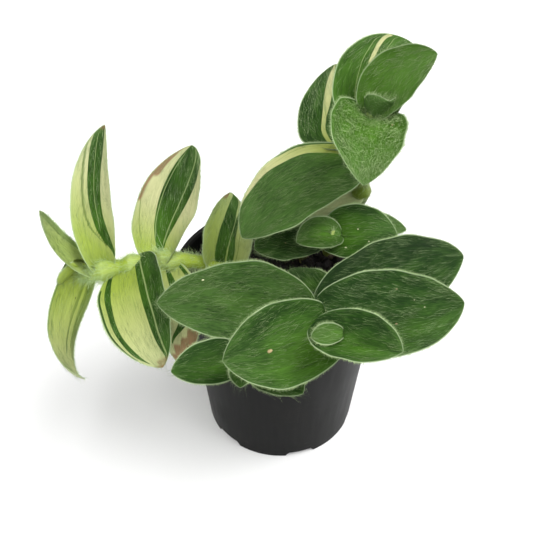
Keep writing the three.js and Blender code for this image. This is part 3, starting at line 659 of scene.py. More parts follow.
def blade_patch(leaf, number, settings):
    """The blade's shell: rows from root to tip, each row a loop over the upper face from
    margin to margin and back under the lower face. The thickness falls to 0 at the margins
    and the tip as a power of 1 - v^8."""
    rows, columns = STRIPED_GRID if leaf.stripes else PLAIN_GRID
    t = 0.5 - 0.5 * np.cos(np.pi * np.linspace(0, 1, rows + 1)[:-1])
    upper = np.sin(np.linspace(1, -1, columns + 1) * math.pi / 2)
    v = np.concatenate([upper, upper[-2:0:-1]])
    face = np.concatenate([np.ones(columns + 1), -np.ones(columns - 1)])
    t, v = np.meshgrid(t, v, indexing="ij")
    face = np.broadcast_to(face, t.shape)
    slim = (1 - 0.45 * v**2) * np.sqrt(1 - np.abs(v) ** 8) * np.sqrt(1 - t**8)
    half = 0.5 * settings.thickness / MM * slim * face
    ripple = settings.ripple / MM
    points = blade_point(leaf, t, v, half, ripple)[0]
    reach = blade_reach(leaf, t, v)
    lay = np.stack([t * leaf.length, v * leaf.width / 2, np.full(t.shape, number)], -1)
    marks = blade_marks(leaf, t, v, reach)
    lines = blade_lines(leaf, t, v, reach)
    # The glow lifts the colour towards the young green round a point: partly a fresher green,
    # partly painted light on a part in shade
    glow_t, glow_v, glow_reach, glow = leaf.glow
    near = ((t - glow_t) / glow_reach) ** 2 + ((v - glow_v) / (1.6 * glow_reach)) ** 2
    youth = np.clip(leaf.youth + glow * np.exp(-near), 0, 1)
    edge = (1 - np.abs(v)) * reach
    bare = (not leaf.pale) * smooth_step(0.2, -0.3, marks[..., 0])
    # Felt thickens towards the tip and the margins; its grey is partly the hairs' colour and partly
    # a painted velvet sheen
    felt = leaf.felt + 0.3 * smooth_step(0.55, 1, t) + 0.25 * smooth_step(3, 0.4, edge) - bare
    felt = np.clip(felt, 0, 1)
    tone = np.stack([youth, edge, face], -1)
    patch = closed_rows(points, lay=lay, marks=marks, lines=lines, tone=tone,
                        felt=felt[..., None])
    tip = blade_point(leaf, np.ones(1), np.zeros(1), np.zeros(1), ripple)[0]
    patch.points[-1] = tip[0]
    return patch


# Stems


def stem_path(path, count):
    """Points along a Catmull-Rom spline through the path, evenly spaced by length, with their
    directions and the distances from the foot."""
    knots = np.array(path, float)
    knots = np.concatenate([[2 * knots[0] - knots[1]], knots, [2 * knots[-1] - knots[-2]]])
    s = np.linspace(0, len(path) - 1, 60 * (len(path) - 1) + 1)
    i = np.minimum(s.astype(int), len(path) - 2)
    u = (s - i)[:, None]
    p0, p1, p2, p3 = (knots[i + k] for k in range(4))
    points = 0.5 * (2 * p1 + (p2 - p0) * u + (2 * p0 - 5 * p1 + 4 * p2 - p3) * u**2
                    + (3 * p1 - p0 - 3 * p2 + p3) * u**3)
    distance = np.concatenate([[0], np.cumsum(np.linalg.norm(np.diff(points, axis=0), axis=1))])
    at = np.linspace(0, distance[-1], count)
    points = np.stack([np.interp(at, distance, points[:, k]) for k in range(3)], -1)
    return points, unit(np.gradient(points, axis=0)), at


def node_distances(stem, points, at):
    """How far along the stem each leaf leaves it."""
    return [at[np.argmin(np.linalg.norm(points - np.array(leaf.at), axis=1))]
            for leaf in stem.leaves]


def stem_radius(stem, at, nodes):
    """The radius along the stem: it swells into a sheath over the last stretch below each leaf,
    steps back in above it, and narrows over the last stretch to the tip."""
    swell = np.zeros(at.shape)
    for node in nodes:
        below = node - at
        sheath = (1 - np.clip(below / stem.sheath, 0, 1)) * smooth_step(-6, 0, below)
        swell = np.maximum(swell, SHEATH_SWELL * sheath)
    taper = np.minimum(1, TIP_RADIUS + (1 - TIP_RADIUS) * (at[-1] - at) / TAPER_LENGTH)
    return stem.radius * taper * (1 + swell)


def stem_frame(stem):
    """Centres, directions, two cross axes, distances and radii of evenly spaced rings, and how
    far along each leaf leaves the stem."""
    count = int(stem_path(stem.path, 50)[2][-1] / RING_SPACING)
    points, along, at = stem_path(stem.path, count)
    side = unit(np.cross(along, np.array(stem.across, float)))
    nodes = node_distances(stem, points, at)
    return points, along, side, np.cross(along, side), at, stem_radius(stem, at, nodes), nodes


def stem_patch(stem, number):
    """A tube of rings round the stem's path, with shallow ribs along it."""
    points, _, side, other, at, radius, nodes = stem_frame(stem)
    around = circle(RING_POINTS)
    ribs = 1 + 0.025 * np.sin(7 * around) + 0.012 * np.sin(0.9 * at[:, None] + 3 * around)
    reach = radius[:, None, None] * ribs[..., None]
    rings = (points[:, None] + reach * (np.cos(around)[:, None] * side[:, None]
                                        + np.sin(around)[:, None] * other[:, None]))
    near = np.min([np.where(node > at - 1, np.abs(node - at), 99) for node in nodes], axis=0)
    shape = rings.shape[:2]
    lay = np.stack([np.broadcast_to(at[:, None], shape),
                    np.broadcast_to(around * stem.radius, shape), np.full(shape, number)], -1)
    lime = np.maximum(stem.lime, 1.2 * smooth_step(5, 1, at[-1] - at))
    tone = np.stack([np.broadcast_to(lime[:, None], shape), np.broadcast_to(near[:, None], shape),
                     np.broadcast_to(smooth_step(8, 20, at)[:, None], shape)], -1)
    return closed_rows(rings, lay=lay, tone=tone)


# Hairs


def strands(roots, directions, lengths, radii, shade, bend=None):
    """Thin closed spikes: a three-sided root, a middle ring pushed aside by bend where one is
    given, and a point. shade is one number for each hair."""
    count = len(roots)
    directions = unit(directions)
    axis = np.where(np.abs(directions[:, :1]) < 0.6, [[1.0, 0, 0]], [[0, 1.0, 0]])
    side = unit(np.cross(directions, axis))
    other = np.cross(directions, side)
    angles = np.radians([0, 120, 240])
    ring = (side[:, None] * np.cos(angles)[:, None] + other[:, None] * np.sin(angles)[:, None])
    foot = roots - directions * HAIR_SINK
    tip = roots + directions * lengths[:, None]
    parts = [foot[:, None] + ring * radii[:, None, None]]
    faces = [[0, 2, 1]]
    if bend is None:
        faces += [[0, 1, 3], [1, 2, 3], [2, 0, 3]]
    else:
        middle = roots + directions * lengths[:, None] * 0.5 + bend
        tip = tip + bend * 0.4
        parts.append(middle[:, None] + ring * radii[:, None, None] * 0.8)
        for a, b in ((0, 1), (1, 2), (2, 0)):
            faces += [[a, b, b + 3], [a, b + 3, a + 3], [a + 3, b + 3, 6]]
    points = np.concatenate([*parts, tip[:, None]], 1)
    size = points.shape[1]
    triangles = np.array(faces)[None] + (np.arange(count) * size)[:, None, None]
    return Patch(points, (), triangles, shade=np.repeat(shade, size)[:, None])


def blade_hairs(leaf, rng, hair, foliage):
    """Hairs that lie along both faces of a blade, at random places with the outline's density
    and in drifts."""
    ripple = foliage.ripple / MM
    area = leaf.length * leaf.width * BLADE_FILL
    patches = []
    for face, share in FACES:
        count = int(area * hair.density * share * (0.6 + 0.6 * leaf.felt + leaf.shag))
        grid = np.linspace(0, 1, 400)
        weight = np.cumsum(outline(leaf, grid) * (1 + 0.8 * grid**3))
        t = np.interp(rng.random(count) * weight[-1], weight, grid)
        v = rng.uniform(-0.97, 0.97, count)
        turn = rng.uniform(0, 6, 4)
        drift = (np.sin(9 * t + 3 * v + turn[0]) + np.sin(23 * t - 7 * v + turn[1])
                 + np.sin(14 * v + 5 * t + turn[2]))
        keep = rng.random(count) < 0.62 + 0.3 * drift
        t, v = t[keep], v[keep]
        count = len(t)
        half = np.full(count, 0.5 * face * foliage.thickness / MM) * (1 - 0.45 * v**2)
        place, normal, along, _ = blade_point(leaf, t, v, half, ripple)
        across = unit(np.cross(normal, along))
        tilt = rng.uniform(0.08, 0.3, count) + 0.35 * leaf.shag * rng.random(count)
        stray = rng.normal(0, 0.14 + 0.4 * leaf.shag, count) - 0.3 * v * t
        directions = (along * np.cos(stray)[:, None] + across * np.sin(stray)[:, None]
                      + normal * (face * tilt)[:, None])
        lengths = hair.length / MM * rng.uniform(0.5, 1.6, count) * (1 + 0.3 * leaf.shag)
        radii = hair.width / MM * rng.uniform(0.3, 0.55, count)
        shade = rng.random(count) ** (2.2 - 1.4 * leaf.shag) * 0.85
        patches.append(strands(place, directions, lengths, radii, shade))
    return patches


def loose_hairs(leaf, rng, hair, foliage):
    """Long, bent hairs that stand off the upper face of a shaggy blade."""
    count = int(leaf.length * leaf.width * BLADE_FILL * (0.5 + 1.4 * leaf.felt))
    t = rng.uniform(0.03, 0.9, count)
    v = rng.uniform(-0.9, 0.9, count)
    half = np.full(count, 0.5 * foliage.thickness / MM)
    place, normal, along, _ = blade_point(leaf, t, v, half, foliage.ripple / MM)
    directions = along + 0.42 * rng.normal(size=(count, 3)) + normal * 0.35
    bend = rng.normal(size=(count, 3)) * 0.35
    lengths = rng.uniform(*LONG_HAIRS, count)
    radii = np.full(count, hair.width / MM * 0.85)
    return strands(place, directions, lengths, radii, rng.uniform(0.6, 1.2, count), bend)


def margin_hairs(leaf, rng, hair, foliage):
    """A fringe along both margins, thinner towards the root, that leans to the tip."""
    count = int(2 * leaf.length * hair.fringe_density)
    t = 0.5 - 0.5 * np.cos(np.pi * rng.uniform(0.06, 1, count))
    t = np.clip(0.35 * t + 0.65 * rng.uniform(0.02, 1, count), 0, 0.999)
    v = np.where(rng.random(count) < 0.5, -1.0, 1.0)
    edge = 1 - 0.02 * rng.random(count)
    half = rng.normal(0, 0.05, count)
    place, normal, along, _ = blade_point(leaf, t, v * edge, half, foliage.ripple / MM)
    across = unit(np.cross(normal, along)) * np.sign(v)[:, None]
    outward = unit(place - blade_point(leaf, t, v * 0.9, half, foliage.ripple / MM)[0])
    closing = smooth_step(0.75, 1, t)[:, None]
    directions = (outward * (1 - 0.3 * closing) + along * (0.45 + 0.5 * closing)
                  + normal * rng.normal(0.1, 0.4, (count, 1)) + across * 0.1)
    lengths = hair.fringe / MM * rng.uniform(0.5, 1.35, count) * (1 + 0.4 * leaf.shag)
    radii = np.full(count, hair.width / MM * 0.65)
    return strands(place, directions, lengths, radii, rng.uniform(0.4, 1.1, count))


def stem_hairs(stem, rng, hair):
    """Hairs that stand off the stem, and a dense collar of them at the mouth of each sheath.
    On a shaggy stem they are longer and bent."""
    points, along, side, other, at, radius, nodes = stem_frame(stem)
    total = int((at[-1] - BURIED) * 2 * math.pi * stem.radius * (0.4 + 3.6 * stem.shag))
    index = rng.integers(np.argmax(at > BURIED), len(at), total)
    mouths = [np.argmin(np.abs(at - node - 0.1)) for node in nodes]
    collars = np.repeat(mouths, int(40 + 260 * stem.shag))
    scatter = rng.normal(-3 * stem.shag, 1 + 6 * stem.shag, len(collars))
    spread = np.concatenate([np.zeros(total), scatter])
    index = np.concatenate([index, collars]) + spread.astype(int)
    index = np.clip(index, 0, len(at) - 1)
    turn = rng.uniform(0, 2 * math.pi, len(index))[:, None]
    outward = side[index] * np.cos(turn) + other[index] * np.sin(turn)
    roots = points[index] + outward * radius[index][:, None] * 0.98
    lean = rng.uniform(0.2, 0.9, (len(index), 1))
    lean = lean * np.where(rng.random((len(index), 1)) < 0.4 * stem.shag, 4, 1)
    directions = (outward + along[index] * lean + 0.3 * rng.normal(size=(len(index), 3)))
    lengths = 0.7 * np.exp(rng.normal(0, 0.45, len(index))) * (0.8 + 2.2 * stem.shag)
    lengths[total:] *= 1.4
    radii = np.full(len(index), hair.width / MM * 0.45)
    radii[total:] *= 1.5
    radii[::6] *= 1 + stem.shag
    bend = rng.normal(size=(len(index), 3)) * 0.4 * stem.shag
    shade = 0.3 + 0.45 * stem.shag + (0.7 - 0.3 * stem.shag) * rng.random(len(index))
    return strands(roots, directions, lengths, radii, shade, bend)


# Pot


def rounded(profile, radius, steps=3):
    """The profile with each corner turned into a parabola of that reach, and a point a little
    further out on either side, so that the flats keep flat shading."""
    corners = np.array(profile, float)
    before = np.roll(corners, 1, 0) - corners
    after = np.roll(corners, -1, 0) - corners
    reach_before = np.minimum(radius, 0.42 * np.linalg.norm(before, axis=1))[:, None]
    reach_after = np.minimum(radius, 0.42 * np.linalg.norm(after, axis=1))[:, None]
    start = corners + unit(before) * reach_before
    end = corners + unit(after) * reach_after
    s = np.linspace(0, 1, steps + 1)[None, :, None]
    arc = start[:, None] * (1 - s) ** 2 + corners[:, None] * 2 * s * (1 - s) + end[:, None] * s**2
    guard_before = corners + unit(before) * reach_before * 1.15
    guard_after = corners + unit(after) * reach_after * 1.15
    return np.concatenate([guard_before[:, None], arc, guard_after[:, None]], 1).reshape(-1, 2)


def notch_height(angle):
    """How high the foot's edge lies at an angle: NOTCH_HEIGHT across the middle of a notch,
    falling to 0 at half of NOTCH_WIDTH on either side."""
    pitch = 2 * math.pi / NOTCHES
    middle = math.radians(NOTCH_TURN) + math.pi / 2
    off = np.abs((angle - middle + pitch / 2) % pitch - pitch / 2) * FOOT_RADIUS
    return NOTCH_HEIGHT * (1 - smooth_step(NOTCH_WIDTH / 2 - 1.5, NOTCH_WIDTH / 2 + 0.1, off))


def pot_wall(settings):
    """The wall's section carried round the axis, with the foot's edge lifted in the notches."""
    wall = settings.wall / MM
    step_top = COLLAR_BOTTOM + COLLAR_STEP
    profile = rounded([
        (FOOT_RADIUS - 2 * wall, FLOOR_TOP), (FOOT_RADIUS - 2 * wall, 0), (FOOT_RADIUS, 0),
        (WALL_TOP_RADIUS, COLLAR_BOTTOM), (COLLAR_RADIUS, step_top),
        (RIM_RADIUS - LIP_OVERHANG, POT_HEIGHT - LIP_HEIGHT),
        (RIM_RADIUS, POT_HEIGHT - LIP_HEIGHT + 0.35),
        (RIM_RADIUS, POT_HEIGHT), (RIM_RADIUS - 0.3 - wall, POT_HEIGHT),
        (COLLAR_RADIUS - wall, step_top + wall), (WALL_TOP_RADIUS - wall, COLLAR_BOTTOM + wall),
        (FOOT_RADIUS - wall, FLOOR_TOP)], settings.edge / MM)
    angle = circle(settings.segments)
    radius, height = profile[:, 0][:, None], profile[:, 1][:, None]
    lift = np.where(height < NOTCH_HEIGHT + 0.3, np.maximum(0, notch_height(angle) - height), 0)
    radius = radius + lift * (WALL_TOP_RADIUS - FOOT_RADIUS) / COLLAR_BOTTOM
    points = np.stack([*polar(radius, angle), height + lift], -1)
    return closed_rows(points, caps=False)


def pot_pad():
    """The pad under the middle of the floor, as rows from its underside to its top."""
    angle = circle(FLOOR_POINTS)
    section = np.array([(PAD_RADIUS - 0.5, 0), (PAD_RADIUS - 0.1, 0.06), (PAD_RADIUS, 0.3),
                        (PAD_RADIUS + 1, FLOOR_BOTTOM), (PAD_RADIUS + 1, FLOOR_TOP)])
    radius, height = section[:, 0][:, None], section[:, 1][:, None]
    points = np.stack([*polar(radius, angle), height + 0 * angle], -1)
    return closed_rows(points)


def pot_floor_sector(index):
    """A sixth of the floor round its drain hole: rays from the hole's edge to the nearest of
    the two circles and two radial lines that bound the sector, on the lower and upper face."""
    turn = 2 * math.pi * index / DRAIN_HOLES
    dx, dy = polar(1, circle(FLOOR_POINTS))
    outer, inner = FOOT_RADIUS - 2, PAD_RADIUS + 0.8
    forward = DRAIN_CIRCLE * dx
    to_outer = -forward + np.sqrt(forward**2 - DRAIN_CIRCLE**2 + outer**2)
    inside = forward**2 - DRAIN_CIRCLE**2 + inner**2
    to_inner = np.where((inside > 0) & (dx < 0), -forward - np.sqrt(np.abs(inside)), 99)
    half = math.pi / DRAIN_HOLES
    slope = np.abs(dy) * math.cos(half) - dx * math.sin(half)
    to_line = np.where(slope > 1e-6, DRAIN_CIRCLE * math.sin(half) / np.maximum(slope, 1e-6), 99)
    reach = np.minimum(np.minimum(to_outer, to_inner), to_line)
    far = DRAIN_RADIUS + (reach - DRAIN_RADIUS) * np.array([1, 0.15, 0, 0, 0.15, 1])[:, None]
    height = np.array([FLOOR_BOTTOM, FLOOR_BOTTOM, FLOOR_BOTTOM + 0.12, FLOOR_TOP - 0.12,
                       FLOOR_TOP, FLOOR_TOP])
    x, y = DRAIN_CIRCLE + far * dx, far * dy
    points = np.stack([x * math.cos(turn) - y * math.sin(turn),
                       x * math.sin(turn) + y * math.cos(turn), height[:, None] + 0 * x], -1)
    return closed_rows(points[::-1], caps=False)


# Potting mix


def soil_height(x, y, relief):
    """Height of the surface: the solid's two broad waves plus finer waves in many directions."""
    rng = np.random.default_rng(5)
    broad = 0.9 * np.sin(0.31 * x + 1) * np.cos(0.27 * y) + 0.4 * np.sin(0.13 * x - 0.21 * y)
    waves = np.geomspace(*FINE_WAVES)
    turns, phases = rng.uniform(0, 2 * math.pi, (2, len(waves)))
    heading = x[..., None] * np.cos(turns) + y[..., None] * np.sin(turns)
    fine = (np.sin(heading * waves + phases) / waves**0.8).sum(-1)
    return SOIL_TOP + broad + relief * 0.55 * fine


def lumps(rng, count):
    """Twenty-sided lumps of unit size with uneven corners, and their faces."""
    g = (1 + math.sqrt(5)) / 2
    corners = unit(np.array([(-1, g, 0), (1, g, 0), (-1, -g, 0), (1, -g, 0), (0, -1, g),
                             (0, 1, g), (0, -1, -g), (0, 1, -g), (g, 0, -1), (g, 0, 1),
                             (-g, 0, -1), (-g, 0, 1)]))
    faces = np.array([(0, 11, 5), (0, 5, 1), (0, 1, 7), (0, 7, 10), (0, 10, 11), (1, 5, 9),
                      (5, 11, 4), (11, 10, 2), (10, 7, 6), (7, 1, 8), (3, 9, 4), (3, 4, 2),
                      (3, 2, 6), (3, 6, 8), (3, 8, 9), (4, 9, 5), (2, 4, 11), (6, 2, 10),
                      (8, 6, 7), (9, 8, 1)])
    points = corners * (1 + rng.uniform(-0.28, 0.28, (count, 12, 1)))
    return points, faces[None] + (12 * np.arange(count))[:, None, None]


def grit_patch(foliage):
    """Specks of bark and grit that lie on the leaves."""
    rng = np.random.default_rng(23)
    rows = [(leaf, *speck)
            for stem in STEMS.values() for leaf in stem.leaves for speck in leaf.grit]
    points, triangles = lumps(rng, len(rows))
    shade = np.repeat([row[4] for row in rows], 12)[:, None]
    for k, (leaf, t, v, size, _) in enumerate(rows):
        half = np.array([0.5 * foliage.thickness / MM + 0.15])
        place, normal, along, _ = blade_point(
            leaf, np.array([t]), np.array([v]), half, foliage.ripple / MM)
        axes = np.stack([along[0], np.cross(normal[0], along[0]), normal[0]])
        points[k] = place + (points[k] * [0.75, 0.5, 0.3] * size) @ axes
    return Patch(points, (), triangles, shade=shade)


def soil_patch(settings):
    """The mix as a closed body: rows up its side, then inwards over the uneven top."""
    rings, points = MIX_GRID
    top = COLLAR_RADIUS - MIX_WALL - 0.2
    inward = np.linspace(0.995, 0.004, rings)
    side = [0.2, FOOT_RADIUS - MIX_WALL - 0.3, WALL_TOP_RADIUS - MIX_WALL - 0.3, top, top]
    radius = np.concatenate([side, top * inward])
    height = np.array([FLOOR_TOP + 0.3, FLOOR_TOP + 0.3, COLLAR_BOTTOM + MIX_WALL + 0.3,
                       *MIX_EDGE])
    x, y = polar(radius[:, None], circle(points))
    z = soil_height(x, y, settings.relief / MM)
    z[:5] = height[:, None]
    shade = 0.35 + 0.2 * np.sin(0.8 * x) * np.cos(0.7 * y)
    return closed_rows(np.stack([x, y, z], -1), shade=shade[..., None])


def crumb_patch(settings):
    """Crumbs: twenty-sided lumps with uneven corners, stretched and turned at random, half sunk
    in the surface."""
    rng = np.random.default_rng(11)
    count = settings.crumbs
    points, triangles = lumps(rng, count)
    size = settings.crumb_size / MM * np.exp(rng.normal(0, 0.42, count))
    stretch = rng.uniform(0.6, 1.5, (count, 1, 3)) * size[:, None, None]
    frames = np.linalg.qr(rng.normal(size=(count, 3, 3)))[0]
    frames *= np.linalg.det(frames)[:, None, None]
    points = np.einsum("nij,nkj->nki", frames, points * stretch) * [1, 1, 0.7]
    x, y = scattered(rng, count, CRUMB_SPREAD)
    z = soil_height(x, y, settings.relief / MM) + 0.25 * size
    points = points + np.stack([x, y, z], -1)[:, None]
    shade = np.repeat(rng.random(count) ** 1.5, 12)[:, None]
    return Patch(points, (), triangles, shade=shade)


def fibre_patch(settings):
    """Short dry fibres that lie on the mix."""
    rng = np.random.default_rng(17)
    x, y = scattered(rng, FIBRES, FIBRE_SPREAD)
    roots = np.stack([x, y, soil_height(x, y, settings.relief / MM) + 0.5], -1)
    directions = rng.normal(size=(FIBRES, 3)) * [1, 1, 0.15]
    bend = rng.normal(size=(FIBRES, 3)) * [0.8, 0.8, 0.2]
    lengths = rng.uniform(*FIBRE_LENGTHS, FIBRES)
    radii = np.full(FIBRES, FIBRE_RADIUS)
    return strands(roots, directions, lengths, radii, rng.uniform(0.75, 1, FIBRES), bend)


# Shaders


class Value:
    """A socket that takes part in Python sums, each of which adds its Math node."""

    def __init__(self, shader, socket):
        self.shader = shader
        self.socket = socket

    def math(self, operation, *others):
        inputs = dict(enumerate((self, *others)))
        return self.shader.node("ShaderNodeMath", {"operation": operation}, inputs)

    def __add__(self, other):
        return self.math("ADD", other)

    __radd__ = __add__

    def __sub__(self, other):
        return self.math("SUBTRACT", other)

    def __rsub__(self, other):
        return self.shader.node("ShaderNodeMath", {"operation": "SUBTRACT"}, {0: other, 1: self})

    def __mul__(self, other):
        return self.math("MULTIPLY", other)

    __rmul__ = __mul__

    def __truediv__(self, other):
        return self.math("DIVIDE", other)

    def __pow__(self, other):
        return self.math("POWER", other)

    def between(self, low, high):
        """0 below low, 1 above high, and a smooth step between."""
        settings = {"interpolation_type": "SMOOTHSTEP"}
        return self.shader.node("ShaderNodeMapRange", settings, {0: self, 1: low, 2: high})


class Shader:
    """One material and its nodes. Its Principled BSDF takes its constants when it is made."""

    def __init__(self, name, **constants):
        self.material = bpy.data.materials.new(name)
        self.material.use_nodes = True
        self.tree = self.material.node_tree
        self.surface = self.tree.nodes["Principled BSDF"]
        for key, value in constants.items():
            self.surface.inputs[key.replace("_", " ")].default_value = value

    def node(self, kind, settings=None, inputs=None, output=0):
        """A node of a kind: settings first, then the values or links of its sockets."""
        made = self.tree.nodes.new(kind)
        for key, value in (settings or {}).items():
            setattr(made, key, value)
        for key, value in (inputs or {}).items():
            if isinstance(value, Value):
                self.tree.links.new(value.socket, made.inputs[key])
            else:
                made.inputs[key].default_value = value
        return Value(self, made.outputs[output])

    def parts(self, vector):
        """The three numbers of a vector."""
        return [self.node("ShaderNodeSeparateXYZ", None, {0: vector}, k) for k in range(3)]

    def attribute(self, name, output="Vector"):
        """An attribute of the piece's points."""
        return self.node("ShaderNodeAttribute", {"attribute_name": name}, None, output)

    def place(self):
        """Places in the piece's own frame, in metres."""
        return self.node("ShaderNodeTexCoord", None, None, "Object")

    def vector(self, x, y, z):
        """Three numbers as a vector."""
        return self.node("ShaderNodeCombineXYZ", None, {0: x, 1: y, 2: z})

    def noise(self, place, scale=1.0, detail=2.0, roughness=0.5):
        """Smooth noise round 0.5, with features of about 1 / scale."""
        inputs = {"Vector": place, "Scale": scale, "Detail": detail, "Roughness": roughness}
        return self.node("ShaderNodeTexNoise", None, inputs)

    def mix(self, share, first, second, blend="MIX"):
        """Colours mixed by a share, 0 for the first and 1 for the second."""
        settings = {"data_type": "RGBA", "blend_type": blend}
        first, second = (c if isinstance(c, Value) else (*c, 1.0) for c in (first, second))
        return self.node("ShaderNodeMix", settings, {0: share, 6: first, 7: second}, 2)

    def tint(self, color, factor):
        """A colour times a number."""
        grey = self.vector(factor, factor, factor)
        return self.mix(1.0, color, grey, "MULTIPLY")

    def bump(self, height, strength, distance):
        """Normals tilted by a height between 0 and 1, which stands for a distance in metres."""
        inputs = {"Strength": strength, "Distance": distance, "Height": height}
        return self.node("ShaderNodeBump", None, inputs)

    def finish(self, **links):
        """Links what changes over the surface to the BSDF, and returns the material."""
        for key, value in links.items():
            self.tree.links.new(value.socket, self.surface.inputs[key.replace("_", " ")])
        return self.material


def blade_material(settings):
    """Velvet leaf: striped by the blade's own marks, streaked along its veins, paler along its
    hairy margin, greyer where the felt is thick, a grey that is partly the hairs' own colour
    and partly a painted velvet sheen."""
    s = Shader("velvet_leaf", Sheen_Weight=0.02, Sheen_Roughness=0.4, Specular_IOR_Level=0.13)
    along, across, number = s.parts(s.attribute("lay"))
    marks, lime_share, dried = s.parts(s.attribute("marks"))
    lines = s.parts(s.attribute("lines"))
    first, second, dark = [1 - distance.math("ABSOLUTE").between(0.5, 1.5) for distance in lines]
    youth, edge, face = s.parts(s.attribute("tone"))
    felt = s.attribute("felt", "Fac")
    seed = number * 13.7
    veins = s.noise(s.vector(along * 0.03, across * 1.5, seed), 1.0, 3.0)
    threads = s.noise(s.vector(along * 0.28, across * 3.4, seed), 1.0, 2.0)
    streaks = s.noise(s.vector(along * 0.4, across * 2.3, seed + 5), 1.0, 3.0, 0.65)
    clouds = s.noise(s.vector(along * 0.09, across * 0.16, seed), 1.0, 2.0)
    green = (marks + (threads - 0.5) * 0.12).between(-0.14, 0.14)
    # youth carries each leaf's glow too, so the young green is in places painted light
    fresh = (youth + (clouds - 0.5) * 0.35).between(0.0, 1.0)
    leaf = s.mix(fresh, settings.green, settings.young)
    leaf = s.tint(leaf, veins * 1.0 + streaks * 0.9 + clouds * 0.8 - 0.35)
    # A grey-green laid on by streaks and felt: partly the hairs' colour, partly a painted velvet
    # sheen
    fuzz_and_sheen = (streaks * 1.1 + clouds * 0.5 + felt * 0.55).between(0.8, 1.55) * 0.75
    leaf = s.mix(fuzz_and_sheen, leaf, FUZZ_AND_SHEEN)
    pale = s.mix(lime_share, settings.cream, settings.lime)
    pale = s.tint(pale, veins * 0.35 + streaks * 0.3 + 0.67)
    drawn = (veins - 0.03).between(0.36, 0.24) * 0.35
    pale = s.mix(drawn, pale, settings.young)
    # The felt's grey on the pale ground is partly the hairs' colour and partly a painted velvet
    # sheen
    pale = s.mix(felt * 0.5, pale, PALE_FELT_AND_SHEEN)
    color = s.mix(green, pale, leaf)
    color = s.mix(first.math("MAXIMUM", second) * 0.75, color, PALE_HAIRLINE)
    color = s.mix(dark * 0.6, color, DARK_HAIRLINE)
    brown = (dried + (threads - 0.5) * 0.25 + (clouds - 0.5) * 0.4).between(0.2, 0.85)
    color = s.mix(brown * 0.85, color, settings.dried)
    rim = 1 - edge.between(0.1, 0.55)
    color = s.mix(rim * 0.8, color, HAIRY_RIM)
    under = (0 - face).between(-0.2, 0.2) * (green * 0.25 + 0.12)
    color = s.mix(under, color, UNDERSIDE)
    height = veins * 0.6 + streaks * 0.6
    return s.finish(Base_Color=color, Roughness=threads * 0.2 + 0.48,
                    Normal=s.bump(height, 0.6, 0.0005))


def stem_material(settings):
    """Fleshy stem: lime or green, streaked along its length, browner at its foot and paler at
    the mouth of each sheath."""
    s = Shader("fleshy_stem", Sheen_Weight=0.08, Sheen_Roughness=0.4, Specular_IOR_Level=0.2)
    along, around, number = s.parts(s.attribute("lay"))
    lime_share, near, foot = s.parts(s.attribute("tone"))
    streak = s.noise(s.vector(along * 0.06, around * 1.7, number * 9.1), 1.0, 3.0)
    blotch = s.noise(s.vector(along * 0.25, around * 0.3, number * 9.1), 1.0, 2.0)
    color = s.mix(lime_share, settings.green, settings.lime)
    flecks = (streak * 0.6 + blotch * 0.5).between(0.45, 0.75) * 0.3
    color = s.mix(flecks, color, settings.young)
    color = s.mix((1 - near.between(0.0, 7.0)) * lime_share * 0.35, color, SHEATH_MOUTH)
    color = s.mix((1 - foot) * 0.8, color, STEM_FOOT)
    color = s.tint(color, streak * 0.6 + 0.8)
    return s.finish(Base_Color=color, Roughness=streak * 0.2 + 0.42,
                    Normal=s.bump(streak, 0.5, 0.0003))


def hair_material(settings):
    """Silky hair: pale, each one a little greyer or whiter than the next."""
    s = Shader("silky_hair", Roughness=0.45, Specular_IOR_Level=0.4)
    shade = s.attribute("shade", "Fac")
    color = s.mix(shade, SHADED_HAIR, settings.color)
    return s.finish(Base_Color=color)


def pot_material(settings):
    """Black moulded plastic: a fine grain, faint drawn lines down the wall, scuffs that gather
    round the foot, a lighter band over the lip that is a painted highlight, and a little dust."""
    s = Shader("black_plastic", Specular_IOR_Level=0.085)
    place = s.place()
    x, y, z = s.parts(place)
    grain = s.noise(place, 2600.0, 3.0)
    drawn = s.noise(s.vector(x * 420, y * 420, z * 14), 1.0, 3.0)
    cloud = s.noise(place, 46.0, 4.0)
    scuff = s.noise(s.vector(x * 160, y * 160, z * 700), 1.0, 4.0).between(0.62, 0.74)
    low = (1 - (z * 1000).between(0.5, 12)) * 0.7 + 0.12
    # Lighter over the lip, from just below its lower edge up: a painted highlight
    lip = (z * 1000).between(77.6, 78.6)
    worn = cloud.between(0.35, 0.75) * 0.35
    color = s.mix(worn, settings.color, WORN_PLASTIC)
    color = s.mix(scuff * low * 0.4, color, SCUFFED_PLASTIC)
    color = s.mix(lip * 0.3, color, LIP_HIGHLIGHT)
    dust = (grain * 0.5 + cloud * 0.5).between(0.55, 0.72) * 0.07
    color = s.mix(dust, color, DUST)
    rough = cloud * 0.22 + drawn * 0.14 + 0.26
    return s.finish(Base_Color=color, Roughness=rough,
                    Normal=s.bump(grain * 0.4 + drawn * 0.6, 0.28, 0.00022))


def mix_material(settings):
    """Damp peat: near black, with browner bark and pale dry fibres."""
    s = Shader("potting_mix", Specular_IOR_Level=0.3)
    place = s.place()
    shade = s.attribute("shade", "Fac")
    grain = s.noise(place, 1400.0, 5.0, 0.65)
    cloud = s.noise(place, 120.0, 3.0)
    color = s.mix(shade.between(0.3, 0.85), settings.color, BARK)
    color = s.mix(shade.between(0.88, 0.98) * 0.8, color, DRY_FIBRE)
    color = s.tint(color, grain * 0.9 + cloud * 0.5 + 0.3)
    return s.finish(Base_Color=color, Roughness=grain * 0.35 + 0.55,
                    Normal=s.bump(grain, 0.7, 0.0006))


